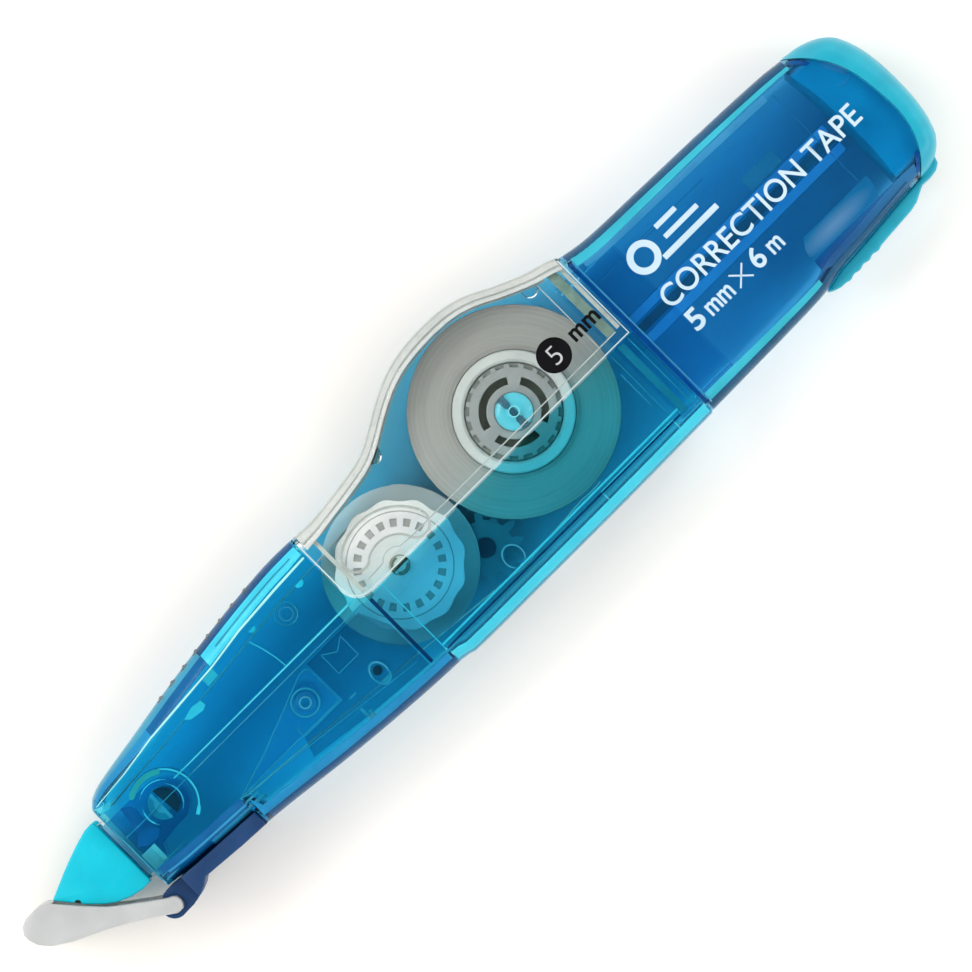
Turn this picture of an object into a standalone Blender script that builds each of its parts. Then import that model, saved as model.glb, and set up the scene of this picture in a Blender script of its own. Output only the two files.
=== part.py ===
"""Pen-shaped correction tape roller, lying on its far broad side.

+X runs from the tip to the tail, +Y to the side with the clear bump, +Z up from the
face the object rests on.  Lengths below are in millimetres and become metres in mm().
"""

import math

import bmesh
import bpy
from mathutils import Matrix

# ---------------------------------------------------------------- driving dimensions
MM = 0.001
ZC = 7.0                      # height of the parting plane above the resting face
HALF = 7.0                    # half thickness of the body
HALF_NOSE = 6.3               # half thickness at the front of the nose
WALL = 1.2                    # moulded wall
PART_GAP = 0.3                # clearance between neighbouring pieces
BODY_X0 = -54.2
BODY_X1 = 28.0
BRACKET_STEP_X = -41.0        # the guard bracket ends and the full-depth body begins
TAIL_X0 = 28.3
TAIL_X1 = 62.7
TAIL_BULGE = 4.3              # how far the middle of the tail's end stands out
TAIL_TILT = 0.21              # how far its lower side stands out past its upper side, of the bulge
CAP_GAP = 0.2                 # between the tail's end and the cap's shoulder
CAP_X0 = 63.9                 # the cap's outline is a squarish half oval that starts here,
CAP_CROWN = 6.0               # stands out this far,
CAP_Y = -2.85                 # is centred here,
CAP_REACH = 10.75             # reaches this far to each side
CAP_SQUARE = 2.4              # and is this square (2 is round)
CAP_ROUND_Y = 3.2             # rounding of the cap's long edges, across
CAP_ROUND_Z = 3.6             # and in height

SUPPLY = (12.0, 1.15)         # supply reel axis
TAKEUP = (-9.6, -2.03)        # take-up reel axis
ROLL_R = 12.3
CORE_R = 7.0
CORE_IN_R = 5.7
SUPPLY_SPINDLE_R = 2.2
TAKEUP_PIN_R = 1.1
IDLER_PIN_R = 1.2
RUN = 0.06                    # radial running clearance on a spindle
TAPE_Z0 = 4.6
TAPE_Z1 = 9.6                 # the tape is 5 mm wide
GEAR_Z0 = 1.6
GEAR_Z1 = 3.2
TAPE_T = 0.12                 # modelled thickness of a single run of tape

MODULE = 0.664
SUPPLY_TEETH = 36
IDLER_TEETH = 12
TAKEUP_TEETH = 18
PRESSURE = math.radians(25.0)
BACKLASH = 0.16

GUARD_HINGE = (-55.25, -11.25)
TRUNNION_R = 1.0
HEAD_PIVOT = (-47.9, -2.2)
WEDGE_Z0 = 3.2
WEDGE_Z1 = 11.0
FLANGE_T = 1.1

TOP_EDGE = [
    (-54.2, 3.3), (-53.4, 4.0), (-52.0, 4.55), (-50.0, 4.95), (-45.0, 5.75), (-40.0, 6.6),
    (-35.0, 7.35), (-30.0, 8.0), (-25.0, 8.55), (-20.0, 8.9), (-16.0, 8.8), (-13.0, 8.7),
    (-10.0, 9.0), (-6.6, 9.5), (-4.4, 9.95), (-2.8, 10.6), (-1.7, 11.2), (1.0, 12.8),
    (3.8, 14.2), (6.5, 15.05), (9.2, 15.4), (11.9, 15.46), (14.7, 15.25), (17.4, 14.45),
    (20.1, 13.1), (22.9, 11.85), (24.5, 11.25), (26.2, 10.8), (28.0, 10.1),
]
BOTTOM_EDGE_FRONT = [(-54.2, -9.2), (-50.0, -9.7), (-41.0, -10.2)]
BOTTOM_EDGE = [
    (-41.0, -12.15), (-38.0, -12.45), (-35.0, -12.8), (-30.0, -13.4), (-25.0, -13.9),
    (-20.0, -14.3), (-15.0, -14.6), (-11.6, -14.75), (-10.4, -15.1), (0.0, -15.15),
    (15.0, -15.15), (28.0, -15.0),
]
TAIL_TOP = [(28.3, 9.95), (30.0, 9.55), (33.0, 9.25), (40.0, 9.05), (50.0, 8.75), (58.0, 8.4), (64.0, 7.9)]
TAIL_BOTTOM = [
    (28.3, -14.85), (40.0, -14.7), (46.5, -14.5), (48.5, -14.1), (50.0, -13.8),
    (55.0, -13.5), (60.0, -13.05), (64.0, -12.7),
]


def mm(value):
    return value * MM


# ---------------------------------------------------------------- scene helpers
for old in list(bpy.data.objects):
    bpy.data.objects.remove(old, do_unlink=True)

PARTS = bpy.data.collections.new("correction_tape_roller")
CUTTERS = bpy.data.collections.new("cutters")
bpy.context.scene.collection.children.link(PARTS)
bpy.context.scene.collection.children.link(CUTTERS)


def material(name, colour, roughness=0.4, metallic=0.0, alpha=1.0):
    mat = bpy.data.materials.new(name)
    mat.use_nodes = True
    shader = mat.node_tree.nodes["Principled BSDF"]
    shader.inputs["Base Color"].default_value = (*colour, 1.0)
    shader.inputs["Roughness"].default_value = roughness
    shader.inputs["Metallic"].default_value = metallic
    shader.inputs["Alpha"].default_value = alpha
    return mat


def place(name, mesh, mat=None, cutter=False):
    """Close, smooth and link one mesh as a named object."""
    bm = bmesh.new()
    bm.from_mesh(mesh)
    bmesh.ops.remove_doubles(bm, verts=bm.verts, dist=mm(0.001))
    bmesh.ops.recalc_face_normals(bm, faces=bm.faces)
    bm.to_mesh(mesh)
    bm.free()
    mesh.name = name
    if mat is not None:
        mesh.materials.clear()
        mesh.materials.append(mat)
    mesh.shade_smooth()
    mesh.set_sharp_from_angle(angle=math.radians(32.0))
    obj = bpy.data.objects.new(name, mesh)
    if cutter:
        CUTTERS.objects.link(obj)
        obj.hide_render = True
        obj.display_type = "WIRE"
    else:
        PARTS.objects.link(obj)
    return obj


def evaluated_mesh(source_object):
    """Turn a curve or a modified helper object into a plain mesh and drop the helper."""
    bpy.context.scene.collection.objects.link(source_object)
    graph = bpy.context.evaluated_depsgraph_get()
    mesh = bpy.data.meshes.new_from_object(source_object.evaluated_get(graph))
    bpy.data.objects.remove(source_object, do_unlink=True)
    return mesh


def prism(name, outlines, z0, z1, mat=None, cutter=False):
    """Extrude one or more closed outlines (later ones inside the first are holes)."""
    curve = bpy.data.curves.new(name, "CURVE")
    curve.dimensions = "2D"
    curve.fill_mode = "BOTH"
    curve.extrude = mm((z1 - z0) / 2.0)
    for outline in outlines:
        spline = curve.splines.new("POLY")
        spline.points.add(len(outline) - 1)
        for point, (x, y) in zip(spline.points, outline):
            point.co = (mm(x), mm(y), 0.0, 1.0)
        spline.use_cyclic_u = True
    mesh = evaluated_mesh(bpy.data.objects.new(name, curve))
    for vertex in mesh.vertices:
        vertex.co.z += mm((z0 + z1) / 2.0)
    return place(name, mesh, mat, cutter)


def revolve(name, profile, centre, mat=None, steps=48, closed=True, cutter=False):
    """Spin a profile of (radius, height) points about a vertical axis at centre."""
    mesh = bpy.data.meshes.new(name)
    edges = [(i, i + 1) for i in range(len(profile) - 1)]
    if closed:
        edges.append((len(profile) - 1, 0))
    mesh.from_pydata([(mm(r), 0.0, mm(z)) for r, z in profile], edges, [])
    helper = bpy.data.objects.new(name, mesh)
    screw = helper.modifiers.new("spin", "SCREW")
    screw.angle = math.tau
    screw.steps = steps
    screw.render_steps = steps
    screw.axis = "Z"
    screw.use_merge_vertices = True
    screw.merge_threshold = 0.00001
    result = evaluated_mesh(helper)
    for vertex in result.vertices:
        vertex.co.x += mm(centre[0])
        vertex.co.y += mm(centre[1])
    return place(name, result, mat, cutter)


def tube(name, centre, inner, outer, z0, z1, mat=None, steps=48, cutter=False):
    profile = [(outer, z1), (outer, z0), (inner, z0), (inner, z1)]
    return revolve(name, profile, centre, mat, steps, True, cutter)


def rod(name, centre, radius, z0, z1, mat=None, steps=32, cutter=False):
    profile = [(0.0, z1), (radius, z1), (radius, z0), (0.0, z0)]
    return revolve(name, profile, centre, mat, steps, False, cutter)


def loft(name, rings, mat=None, cap="flat", cutter=False):
    """Skin a row of closed rings of equal count; cap is flat, domed or none."""
    count = len(rings[0])
    verts = [(mm(x), mm(y), mm(z)) for ring in rings for x, y, z in ring]
    faces = []
    for k in range(len(rings) - 1):
        a = k * count
        b = a + count
        for i in range(count):
            j = (i + 1) % count
            faces.append((a + i, a + j, b + j, b + i))
    last = len(verts) - count
    for first in (0, last):
        if cap == "flat":
            faces.append(tuple(range(first, first + count)))
        if cap == "domed":
            ring = verts[first:first + count]
            hub = len(verts)
            verts.append(tuple(sum(axis) / count for axis in zip(*ring)))
            faces += [(first + i, first + (i + 1) % count, hub) for i in range(count)]
    mesh = bpy.data.meshes.new(name)
    mesh.from_pydata(verts, [], faces)
    return place(name, mesh, mat, cutter)


def boolean(target, tool, operation):
    mod = target.modifiers.new(operation.lower(), "BOOLEAN")
    mod.operation = operation
    mod.solver = "EXACT"
    mod.object = tool


def interp(table, x):
    """Smooth curve through (x, y) points, held at the end values."""
    if x <= table[0][0]:
        return table[0][1]
    if x >= table[-1][0]:
        return table[-1][1]
    i = max(k for k in range(len(table) - 1) if table[k][0] <= x)
    (x0, y0), (x1, y1) = table[i], table[i + 1]
    before = table[max(i - 1, 0)]
    after = table[min(i + 2, len(table) - 1)]
    m0 = (y1 - before[1]) / (x1 - before[0])
    m1 = (after[1] - y0) / (after[0] - x0)
    t = (x - x0) / (x1 - x0)
    span = x1 - x0
    h00 = (1 + 2 * t) * (1 - t) ** 2
    h10 = t * (1 - t) ** 2
    h01 = t * t * (3 - 2 * t)
    h11 = t * t * (t - 1)
    return h00 * y0 + h10 * span * m0 + h01 * y1 + h11 * span * m1


def arc(centre, radius, start, stop, steps):
    """Points on an arc, angles in degrees, both ends included."""
    points = []
    for i in range(steps + 1):
        a = math.radians(start + (stop - start) * i / steps)
        points.append((centre[0] + radius * math.cos(a), centre[1] + radius * math.sin(a)))
    return points


def circle(centre, radius, steps=32):
    return arc(centre, radius, 0.0, 360.0, steps)[:-1]


def box_outline(x0, x1, y0, y1):
    return [(x0, y0), (x1, y0), (x1, y1), (x0, y1)]


def slot_outline(centre, radius, half_width, start, stop, steps=10):
    """Kidney-shaped outline following an arc about centre."""
    outer = arc(centre, radius + half_width, start, stop, steps)
    inner = arc(centre, radius - half_width, stop, start, steps)
    stop_mid = arc(centre, radius, stop, stop, 1)[0]
    start_mid = arc(centre, radius, start, start, 1)[0]
    end_cap = arc(stop_mid, half_width, stop, stop + 180.0, 8)[1:-1]
    start_cap = arc(start_mid, half_width, start + 180.0, start + 360.0, 8)[1:-1]
    return outer + end_cap + inner + start_cap


# ---------------------------------------------------------------- body sections
def top_edge(x):
    return interp(TOP_EDGE, x)


def bottom_edge(x):
    if x < BRACKET_STEP_X:
        return interp(BOTTOM_EDGE_FRONT, x)
    return interp(BOTTOM_EDGE, x)


def half_depth(x):
    t = min(max((x - BODY_X0) / 16.0, 0.0), 1.0)
    return HALF_NOSE + (HALF - HALF_NOSE) * math.sin(t * math.pi / 2.0)


def corner_top(x):
    """Depth of the rounded long edge on the +Y side: (along Y, along Z)."""
    t = min(max((x + 19.0) / 7.0, 0.0), 1.0)
    front = min(max((x - BODY_X0) / 12.0, 0.0), 1.0)
    nose = 1.3 + 1.4 * front
    return nose + (1.7 - nose) * t, 3.4 + (2.0 - 3.4) * t


def body_half_section(x, side, inset):
    """Half section from the bottom rim round the broad face to the top rim."""
    spread = [inset * k / 4.0 for k in range(-4, 5)] if inset > 0.0 else [0.0]
    tops = []
    bottoms = []
    for d in spread:
        rise = math.sqrt(max(inset * inset - d * d, 0.0))
        tops.append(top_edge(x + d) - rise)
        bottoms.append(bottom_edge(x + d) + rise)
    y1 = min(tops)
    y0 = max(bottoms)
    depth = half_depth(x) - inset
    top_y, top_z = corner_top(x)
    top_y = max(top_y - inset, 0.4)
    top_z = max(top_z - inset, 0.4)
    low_y = 2.4 - inset
    low_z = 3.4 - inset
    points = [(y0, PART_GAP / 2.0)]
    for k in range(5):
        a = math.pi / 2.0 * k / 4.0
        points.append((y0 + low_y * (1.0 - math.cos(a)), depth - low_z * (1.0 - math.sin(a))))
    for k in range(4, -1, -1):
        a = math.pi / 2.0 * k / 4.0
        points.append((y1 - top_y * (1.0 - math.cos(a)), depth - top_z * (1.0 - math.sin(a))))
    points.append((y1, PART_GAP / 2.0))
    return [(x, y, ZC + side * h) for y, h in points]


def body_half(name, side, x0, x1, mat=None, cutter=False):
    stations = [x0]
    stops = [-53.4, -52.0, -50.0, -46.0, -42.3, -41.05, -40.95, -39.7, -35.0, -30.0, -25.0, -20.0]
    stops += [-17.5, -15.0, -12.5, -11.5, -10.4, -8.0, -6.0, -4.4, -2.8, -1.4]
    stops += [0.2, 2.0, 4.0, 6.5, 9.2, 12.0, 14.7, 17.4, 20.1, 22.9, 25.0, 26.6]
    stations += [x for x in stops if x0 < x < x1]
    stations.append(x1)
    rings = []
    for x in stations:
        outer = body_half_section(x, side, 0.0)
        inner = body_half_section(x, side, WALL)
        rings.append(outer + inner[::-1])
    return loft(name, rings, mat, "flat", cutter)


# ---------------------------------------------------------------- materials
BLUE = material("blue_translucent", (0.02, 0.22, 0.62), 0.12, alpha=0.55)
BLUE_DARK = material("blue_dark", (0.01, 0.08, 0.32), 0.2, alpha=0.8)
CLEAR = material("clear_plastic", (0.85, 0.9, 0.9), 0.08, alpha=0.3)
CYAN = material("cyan_plastic", (0.0, 0.55, 0.68), 0.35)
CYAN_CAP = material("cyan_cap_plastic", (0.01, 0.45, 0.6), 0.35)
MILKY = material("milky_plastic", (0.66, 0.67, 0.68), 0.45, alpha=0.85)
WHITE = material("white_plastic", (0.8, 0.8, 0.79), 0.4)
NATURAL = material("natural_plastic", (0.62, 0.62, 0.6), 0.45)
TAPE = material("tape_roll_paper", (0.62, 0.6, 0.59), 0.6)
TAPE_FILM = material("tape_film", (0.86, 0.86, 0.85), 0.5)
STEEL = material("pin_steel", (0.35, 0.36, 0.38), 0.3, 0.9)
LIGHT_BLUE = material("light_blue_plastic", (0.25, 0.6, 0.85), 0.3, alpha=0.8)

# ---------------------------------------------------------------- body shells
WINDOW_LEFT = -16.3
WINDOW_BOTTOM = -1.8
WINDOW_RIGHT = 27.7
WINDOW_CORNER = 2.4


def window_outline(gap):
    """Plan of the clear cover's share of the near face, grown by gap."""
    corner = (WINDOW_LEFT + WINDOW_CORNER, WINDOW_BOTTOM + WINDOW_CORNER)
    points = [(WINDOW_RIGHT + gap, 20.0), (WINDOW_LEFT - gap, 20.0)]
    points += arc(corner, WINDOW_CORNER + gap, 180.0, 270.0, 6)
    points.append((WINDOW_RIGHT + gap, WINDOW_BOTTOM - gap))
    return points


far_shell = body_half("far_shell", -1.0, BODY_X0, BODY_X1, BLUE)

near_shell = body_half("near_shell", 1.0, BODY_X0, BODY_X1, BLUE)
near_inner_z = ZC + HALF - WALL
GUIDE_POSTS = [(0.3, -10.4, 1.4, 3.6), (-19.8, -8.8, 1.1, 1.6), (-28.3, -5.5, 1.2, 1.6), (-22.6, 3.1, 1.2, 1.6)]
for i, (x, y, r, z0) in enumerate(GUIDE_POSTS):
    post = rod(f"post_tool_{i + 1}", (x, y), r, z0, near_inner_z + 0.4, steps=24, cutter=True)
    boolean(near_shell, post, "UNION")
rib = prism("rib_tool", [box_outline(-43.0, -17.0, -2.1, -1.0)], near_inner_z - 0.7,
            near_inner_z + 0.4, cutter=True)
boolean(near_shell, rib, "UNION")
window_cut = prism("window_cut", [window_outline(PART_GAP)], ZC - 1.0, ZC + 9.0, cutter=True)
boolean(near_shell, window_cut, "DIFFERENCE")
# The window reaches the rear end, so the sliver behind it goes too.
sliver_cut = prism("sliver_cut", [box_outline(27.0, 29.0, WINDOW_BOTTOM - PART_GAP, 20.0)],
                   ZC - 1.0, ZC + 9.0, cutter=True)
boolean(near_shell, sliver_cut, "DIFFERENCE")

window_cover = body_half("window_cover", 1.0, -20.0, 28.0, CLEAR)
window_keep = prism("window_keep", [window_outline(0.0)], ZC - 1.0, ZC + 9.0, cutter=True)
boolean(window_cover, window_keep, "INTERSECT")
kidney = prism("kidney_cut", [slot_outline(TAKEUP, 5.1, 1.35, 24.0, 126.0)],
               ZC + 4.0, ZC + 9.0, cutter=True)
boolean(window_cover, kidney, "DIFFERENCE")
for i, (x, y, r) in enumerate([(23.1, 9.7, 1.0), (-2.9, 8.7, 0.8)]):
    peg = rod(f"peg_tool_{i + 1}", (x, y), r, ZC + 0.4, near_inner_z + 0.4, steps=20, cutter=True)
    boolean(window_cover, peg, "UNION")

# ---------------------------------------------------------------- tail
def tail_ring(x, inset_y, inset_z, bulge):
    """Closed rounded section of the tail; bulge bows its middle toward +X and tilts it."""
    y1 = interp(TAIL_TOP, x) - inset_y
    y0 = interp(TAIL_BOTTOM, x) + inset_y
    depth = HALF - 0.4 * (x - TAIL_X0) / (TAIL_X1 - TAIL_X0) - inset_z
    corner_y = max(min(2.7 - inset_y, (y1 - y0) * 0.45), 0.3)
    corner_z = max(min(3.6 - inset_z, depth * 0.9), 0.3)
    quarter = []
    for k in range(5):
        a = math.pi / 2.0 * k / 4.0
        quarter.append((corner_y * (1.0 - math.cos(a)), depth - corner_z * (1.0 - math.sin(a))))
    near = [(y0 + dy, h) for dy, h in quarter]
    flat = y1 - y0 - 2.0 * corner_y
    near += [(y0 + corner_y + flat * k / 5.0, depth) for k in range(1, 5)]
    near += [(y1 - dy, h) for dy, h in quarter[::-1]]
    loop = near + [(y, -h) for y, h in near[::-1]]
    yc = (interp(TAIL_TOP, TAIL_X1) + interp(TAIL_BOTTOM, TAIL_X1)) / 2.0
    reach = (interp(TAIL_TOP, TAIL_X1) - interp(TAIL_BOTTOM, TAIL_X1)) / 2.0
    ring = []
    for y, h in loop:
        side = max(min((y - yc) / reach, 1.0), -1.0)
        bow = 1.0 - abs(side) ** 2.8 - TAIL_TILT * side
        ring.append((x + bulge * bow, y, ZC + h))
    return ring


def cap_ring(angle):
    """Section of the cap, from its joint with the tail at 0 degrees to its crown at 90."""
    a = math.radians(angle)
    shrink = 1.0 - math.cos(a)
    ring = []
    for x, y, z in tail_ring(TAIL_X1, CAP_ROUND_Y * shrink, CAP_ROUND_Z * shrink, TAIL_BULGE):
        side = min(abs((y - CAP_Y) / CAP_REACH), 1.0)
        outline = CAP_X0 + CAP_CROWN * (1.0 - side ** CAP_SQUARE) ** (1.0 / CAP_SQUARE)
        joint = x + CAP_GAP
        ring.append((joint + (outline - joint) * math.sqrt(math.sin(a)), y, z))
    return ring


TAIL_STATIONS = [28.3, 30.0, 33.0, 40.0, 46.5, 48.5, 50.0, 55.0, 60.0]
outer_rings = [tail_ring(x, 0.0, 0.0, 0.0) for x in TAIL_STATIONS]
outer_rings.append(tail_ring(TAIL_X1, 0.0, 0.0, TAIL_BULGE))
inner_rings = [tail_ring(x, WALL, WALL, 0.0) for x in TAIL_STATIONS]
inner_rings.append(tail_ring(TAIL_X1, WALL, WALL, TAIL_BULGE))
tail_shell = loft("tail_shell", outer_rings + inner_rings[::-1] + outer_rings[:1], BLUE, "none")

cap_rings = [
    tail_ring(61.0, WALL + 0.25, WALL + 0.25, 1.2),
    tail_ring(TAIL_X1 + CAP_GAP, WALL + 0.25, WALL + 0.25, TAIL_BULGE),
]
cap_rings += [cap_ring(angle) for angle in (0.0, 12.0, 32.0, 50.0, 70.0, 90.0)]
tail_cap = loft("tail_cap", cap_rings, CYAN_CAP, "domed")
TONGUE = [
    (66.8, -12.1), (66.5, -13.0), (65.7, -13.5), (64.6, -13.65), (63.4, -13.6), (62.6, -14.0),
    (61.6, -14.5), (60.4, -14.75), (56.5, -15.05),
    (54.2, -15.12), (53.6, -15.38), (53.0, -15.14), (52.4, -15.16), (51.8, -15.4), (51.2, -15.18),
    (50.6, -15.21), (50.0, -15.42), (49.4, -15.22), (48.6, -15.19), (47.8, -15.0), (47.5, -14.75),
    (48.5, -14.4), (50.0, -14.1), (55.0, -13.8), (60.0, -13.35), (63.95, -13.0), (65.0, -12.1),
]
tongue_tool = prism("tongue_tool", [TONGUE], 4.2, 9.8, cutter=True)
boolean(tail_cap, tongue_tool, "UNION")

# The collar joins the body to the tail; the spine lies inside the tail.
def collar_ring(x, inset):
    y0, y1, depth, corner = -13.3 + inset, 7.7 - inset, 5.5 - inset, 2.4 - inset
    near = [(y0 + corner * (1 - math.cos(a)), depth - corner * (1 - math.sin(a)))
            for a in (0.0, math.pi / 6, math.pi / 3, math.pi / 2)]
    near += [(y1 - (y - y0), h) for y, h in near[::-1]]
    return [(x, y, ZC + h) for y, h in near] + [(x, y, ZC - h) for y, h in near[::-1]]


COLLAR_X0, COLLAR_X1 = 25.2, 33.5
collar_rings = [collar_ring(COLLAR_X0, 0.0), collar_ring(COLLAR_X1, 0.0), collar_ring(COLLAR_X1, 1.0),
                collar_ring(COLLAR_X0, 1.0), collar_ring(COLLAR_X0, 0.0)]
tail_collar = loft("tail_collar", collar_rings, BLUE, "none")

tail_spine = prism("tail_spine", [box_outline(25.6, 60.2, -4.6, -0.4)], 5.0, 9.0, BLUE)
spine_groove = prism("spine_groove", [box_outline(24.0, 62.0, -2.9, -1.7)], 7.4, 9.5, cutter=True)
boolean(tail_spine, spine_groove, "DIFFERENCE")

# ---------------------------------------------------------------- gears
def gear_outline(centre, teeth, phase):
    """Involute teeth with backlash; a tooth is centred at angle phase."""
    pitch_r = MODULE * teeth / 2.0
    base_r = pitch_r * math.cos(PRESSURE)
    tip_r = pitch_r + 0.85 * MODULE
    root_r = pitch_r - 1.1 * MODULE
    inv_pitch = math.tan(PRESSURE) - PRESSURE
    half_at_pitch = math.pi / (2.0 * teeth) - BACKLASH / (2.0 * pitch_r)
    start_r = max(base_r, root_r + 0.05)
    flank = []
    for k in range(3):
        r = start_r + (tip_r - start_r) * k / 2.0
        alpha = math.acos(min(base_r / r, 1.0))
        flank.append((r, half_at_pitch + inv_pitch - (math.tan(alpha) - alpha)))
    outline = []
    for i in range(teeth):
        mid = phase + math.tau * i / teeth
        tooth = [(root_r, -flank[0][1])] + [(r, -a) for r, a in flank]
        tooth += [(r, a) for r, a in flank[::-1]] + [(root_r, flank[0][1])]
        for r, a in tooth:
            outline.append((centre[0] + r * math.cos(mid + a), centre[1] + r * math.sin(mid + a)))
    return outline


def meshing_phase(centre_a, teeth_a, phase_a, centre_b, teeth_b):
    """Phase of gear b that puts its gap on a tooth of gear a."""
    line = math.atan2(centre_b[1] - centre_a[1], centre_b[0] - centre_a[0])
    past_tooth = ((line - phase_a) * teeth_a / math.tau) % 1.0
    return line + math.pi + (past_tooth + 0.5) * math.tau / teeth_b


reach_s = MODULE * (SUPPLY_TEETH + IDLER_TEETH) / 2.0
reach_t = MODULE * (TAKEUP_TEETH + IDLER_TEETH) / 2.0
span_x = SUPPLY[0] - TAKEUP[0]
span_y = SUPPLY[1] - TAKEUP[1]
span = math.hypot(span_x, span_y)
along = (reach_t ** 2 - reach_s ** 2 + span ** 2) / (2.0 * span)
aside = math.sqrt(reach_t ** 2 - along ** 2)
IDLER = (TAKEUP[0] + (along * span_x + aside * span_y) / span,
         TAKEUP[1] + (along * span_y - aside * span_x) / span)

supply_phase = 0.0
idler_phase = meshing_phase(SUPPLY, SUPPLY_TEETH, supply_phase, IDLER, IDLER_TEETH)
takeup_phase = meshing_phase(IDLER, IDLER_TEETH, idler_phase, TAKEUP, TAKEUP_TEETH)

supply_gear = prism("supply_gear", [gear_outline(SUPPLY, SUPPLY_TEETH, supply_phase),
                                    circle(SUPPLY, SUPPLY_SPINDLE_R + RUN, 48)],
                    GEAR_Z0, GEAR_Z1, NATURAL)
supply_hub_tool = tube("supply_hub_tool", SUPPLY, SUPPLY_SPINDLE_R + RUN, 3.15, GEAR_Z0 + 0.5, 8.2,
                       steps=48, cutter=True)
boolean(supply_gear, supply_hub_tool, "UNION")
idler_gear = prism("idler_gear", [gear_outline(IDLER, IDLER_TEETH, idler_phase),
                                  circle(IDLER, IDLER_PIN_R + RUN, 32)],
                   GEAR_Z0, GEAR_Z1, NATURAL)
takeup_gear = prism("takeup_gear", [gear_outline(TAKEUP, TAKEUP_TEETH, takeup_phase),
                                    circle(TAKEUP, TAKEUP_PIN_R + RUN, 32)],
                    GEAR_Z0, GEAR_Z1, NATURAL)

# ---------------------------------------------------------------- supply reel
spindle_profile = [
    (0.0, 11.9), (0.76, 11.9), (0.76, 12.3), (1.7, 12.3), (SUPPLY_SPINDLE_R, 11.9),
    (SUPPLY_SPINDLE_R, 1.45), (0.0, 1.45),
]
supply_spindle = revolve("supply_spindle", spindle_profile, SUPPLY, BLUE, 48, False)

CLUTCH_Z0 = 8.5
CLUTCH_Z1 = 10.5
clutch_outer = []
for i in range(20):
    step = 360.0 / 20
    tooth = arc(SUPPLY, 5.52, step * i - 3.2, step * i + 3.2, 1)
    gap_arc = arc(SUPPLY, 5.1, step * i + 3.4, step * i + step - 3.4, 2)
    clutch_outer += tooth + gap_arc
openings = [clutch_outer, circle(SUPPLY, SUPPLY_SPINDLE_R + RUN, 48)]
SPOKES = [180.0, 45.0, -75.0]
for i, angle in enumerate(SPOKES):
    ends = sorted(a % 360.0 for a in SPOKES)
    start = ends[i] + 12.0
    stop = ends[(i + 1) % 3] - 12.0
    if stop < start:
        stop += 360.0
    openings.append(arc(SUPPLY, 4.05, start, stop, 8) + arc(SUPPLY, 3.15, stop, start, 8))
clutch_ring = prism("clutch_ring", openings, CLUTCH_Z0, CLUTCH_Z1, WHITE)

core_profile = [(CORE_R, 10.6), (CORE_R, 3.55), (CORE_IN_R, 3.55), (CORE_IN_R, 10.35), (CORE_IN_R + 0.3, 10.6)]
supply_core = revolve("supply_core", core_profile, SUPPLY, WHITE, 60)
tape_roll = tube("tape_roll", SUPPLY, CORE_R + 0.15, ROLL_R, TAPE_Z0, TAPE_Z1, TAPE, 72)

# ---------------------------------------------------------------- take-up reel
idler_pin = rod("idler_pin", IDLER, IDLER_PIN_R, 1.45, 3.35, BLUE, 32)
takeup_pin = rod("takeup_pin", TAKEUP, TAKEUP_PIN_R, 1.45, 11.3, STEEL, 32)
pin_split = prism("pin_split", [box_outline(TAKEUP[0] - 2.0, TAKEUP[0] + 2.0, TAKEUP[1] - 0.2, TAKEUP[1] + 0.2)],
                  9.0, 12.0, cutter=True)
boolean(takeup_pin, pin_split, "DIFFERENCE")

DRUM_R = 6.3
hub_profile = [
    (DRUM_R, 9.7), (DRUM_R, 4.3), (9.2, 4.3), (9.2, 3.5), (TAKEUP_PIN_R + RUN, 3.5),
    (TAKEUP_PIN_R + RUN, 9.7), (2.4, 9.7), (2.4, 4.4), (5.2, 4.4), (5.2, 9.7),
]
takeup_hub = revolve("takeup_hub", hub_profile, TAKEUP, NATURAL, 48)

flange_outline = []
for i in range(60):
    a = math.tau * i / 60
    r = 7.45 + 0.17 * math.cos(12.0 * a)
    flange_outline.append((TAKEUP[0] + r * math.cos(a), TAKEUP[1] + r * math.sin(a)))
notches = []
for i in range(20):
    mid = 18.0 * i
    notches.append(arc(TAKEUP, 5.35, mid - 4.6, mid + 4.6, 1) + arc(TAKEUP, 4.45, mid + 4.6, mid - 4.6, 1))
takeup_flange = prism("takeup_flange", [flange_outline, circle(TAKEUP, TAKEUP_PIN_R + RUN, 32)] + notches,
                      10.0, 10.8, WHITE)
takeup_tape = tube("takeup_tape", TAKEUP, DRUM_R + 0.15, 6.9, TAPE_Z0, TAPE_Z1, TAPE_FILM, 48)


# ---------------------------------------------------------------- tape runs
def ribbon(name, path, thickness, mat):
    """Flat strip, 5 mm wide, following a plan path and thickened to its left side."""
    left = []
    for i, (x, y) in enumerate(path):
        ax, ay = path[max(i - 1, 0)]
        bx, by = path[min(i + 1, len(path) - 1)]
        length = math.hypot(bx - ax, by - ay)
        left.append((x - (by - ay) / length * thickness, y + (bx - ax) / length * thickness))
    return prism(name, [path + left[::-1]], TAPE_Z0, TAPE_Z1, mat)


POST_A = GUIDE_POSTS[0]
POST_D = GUIDE_POSTS[3]
feed_path = arc(SUPPLY, ROLL_R + 0.35, -84.0, -97.0, 3)
feed_path += arc((POST_A[0], POST_A[1]), POST_A[2] + 0.35, -88.0, -104.0, 3)
feed_path += [(-36.0, -8.6), (-52.6, -7.5)]
tape_feed = ribbon("tape_feed", feed_path, TAPE_T, TAPE_FILM)
return_path = [(-52.6, 1.95), (-44.0, 2.4)]
return_path += arc((POST_D[0], POST_D[1]), POST_D[2] + 0.3, 100.0, 84.0, 3)
return_path += arc(TAKEUP, 7.2, 97.0, 80.0, 3)
tape_return = ribbon("tape_return", return_path, TAPE_T, TAPE_FILM)

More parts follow.
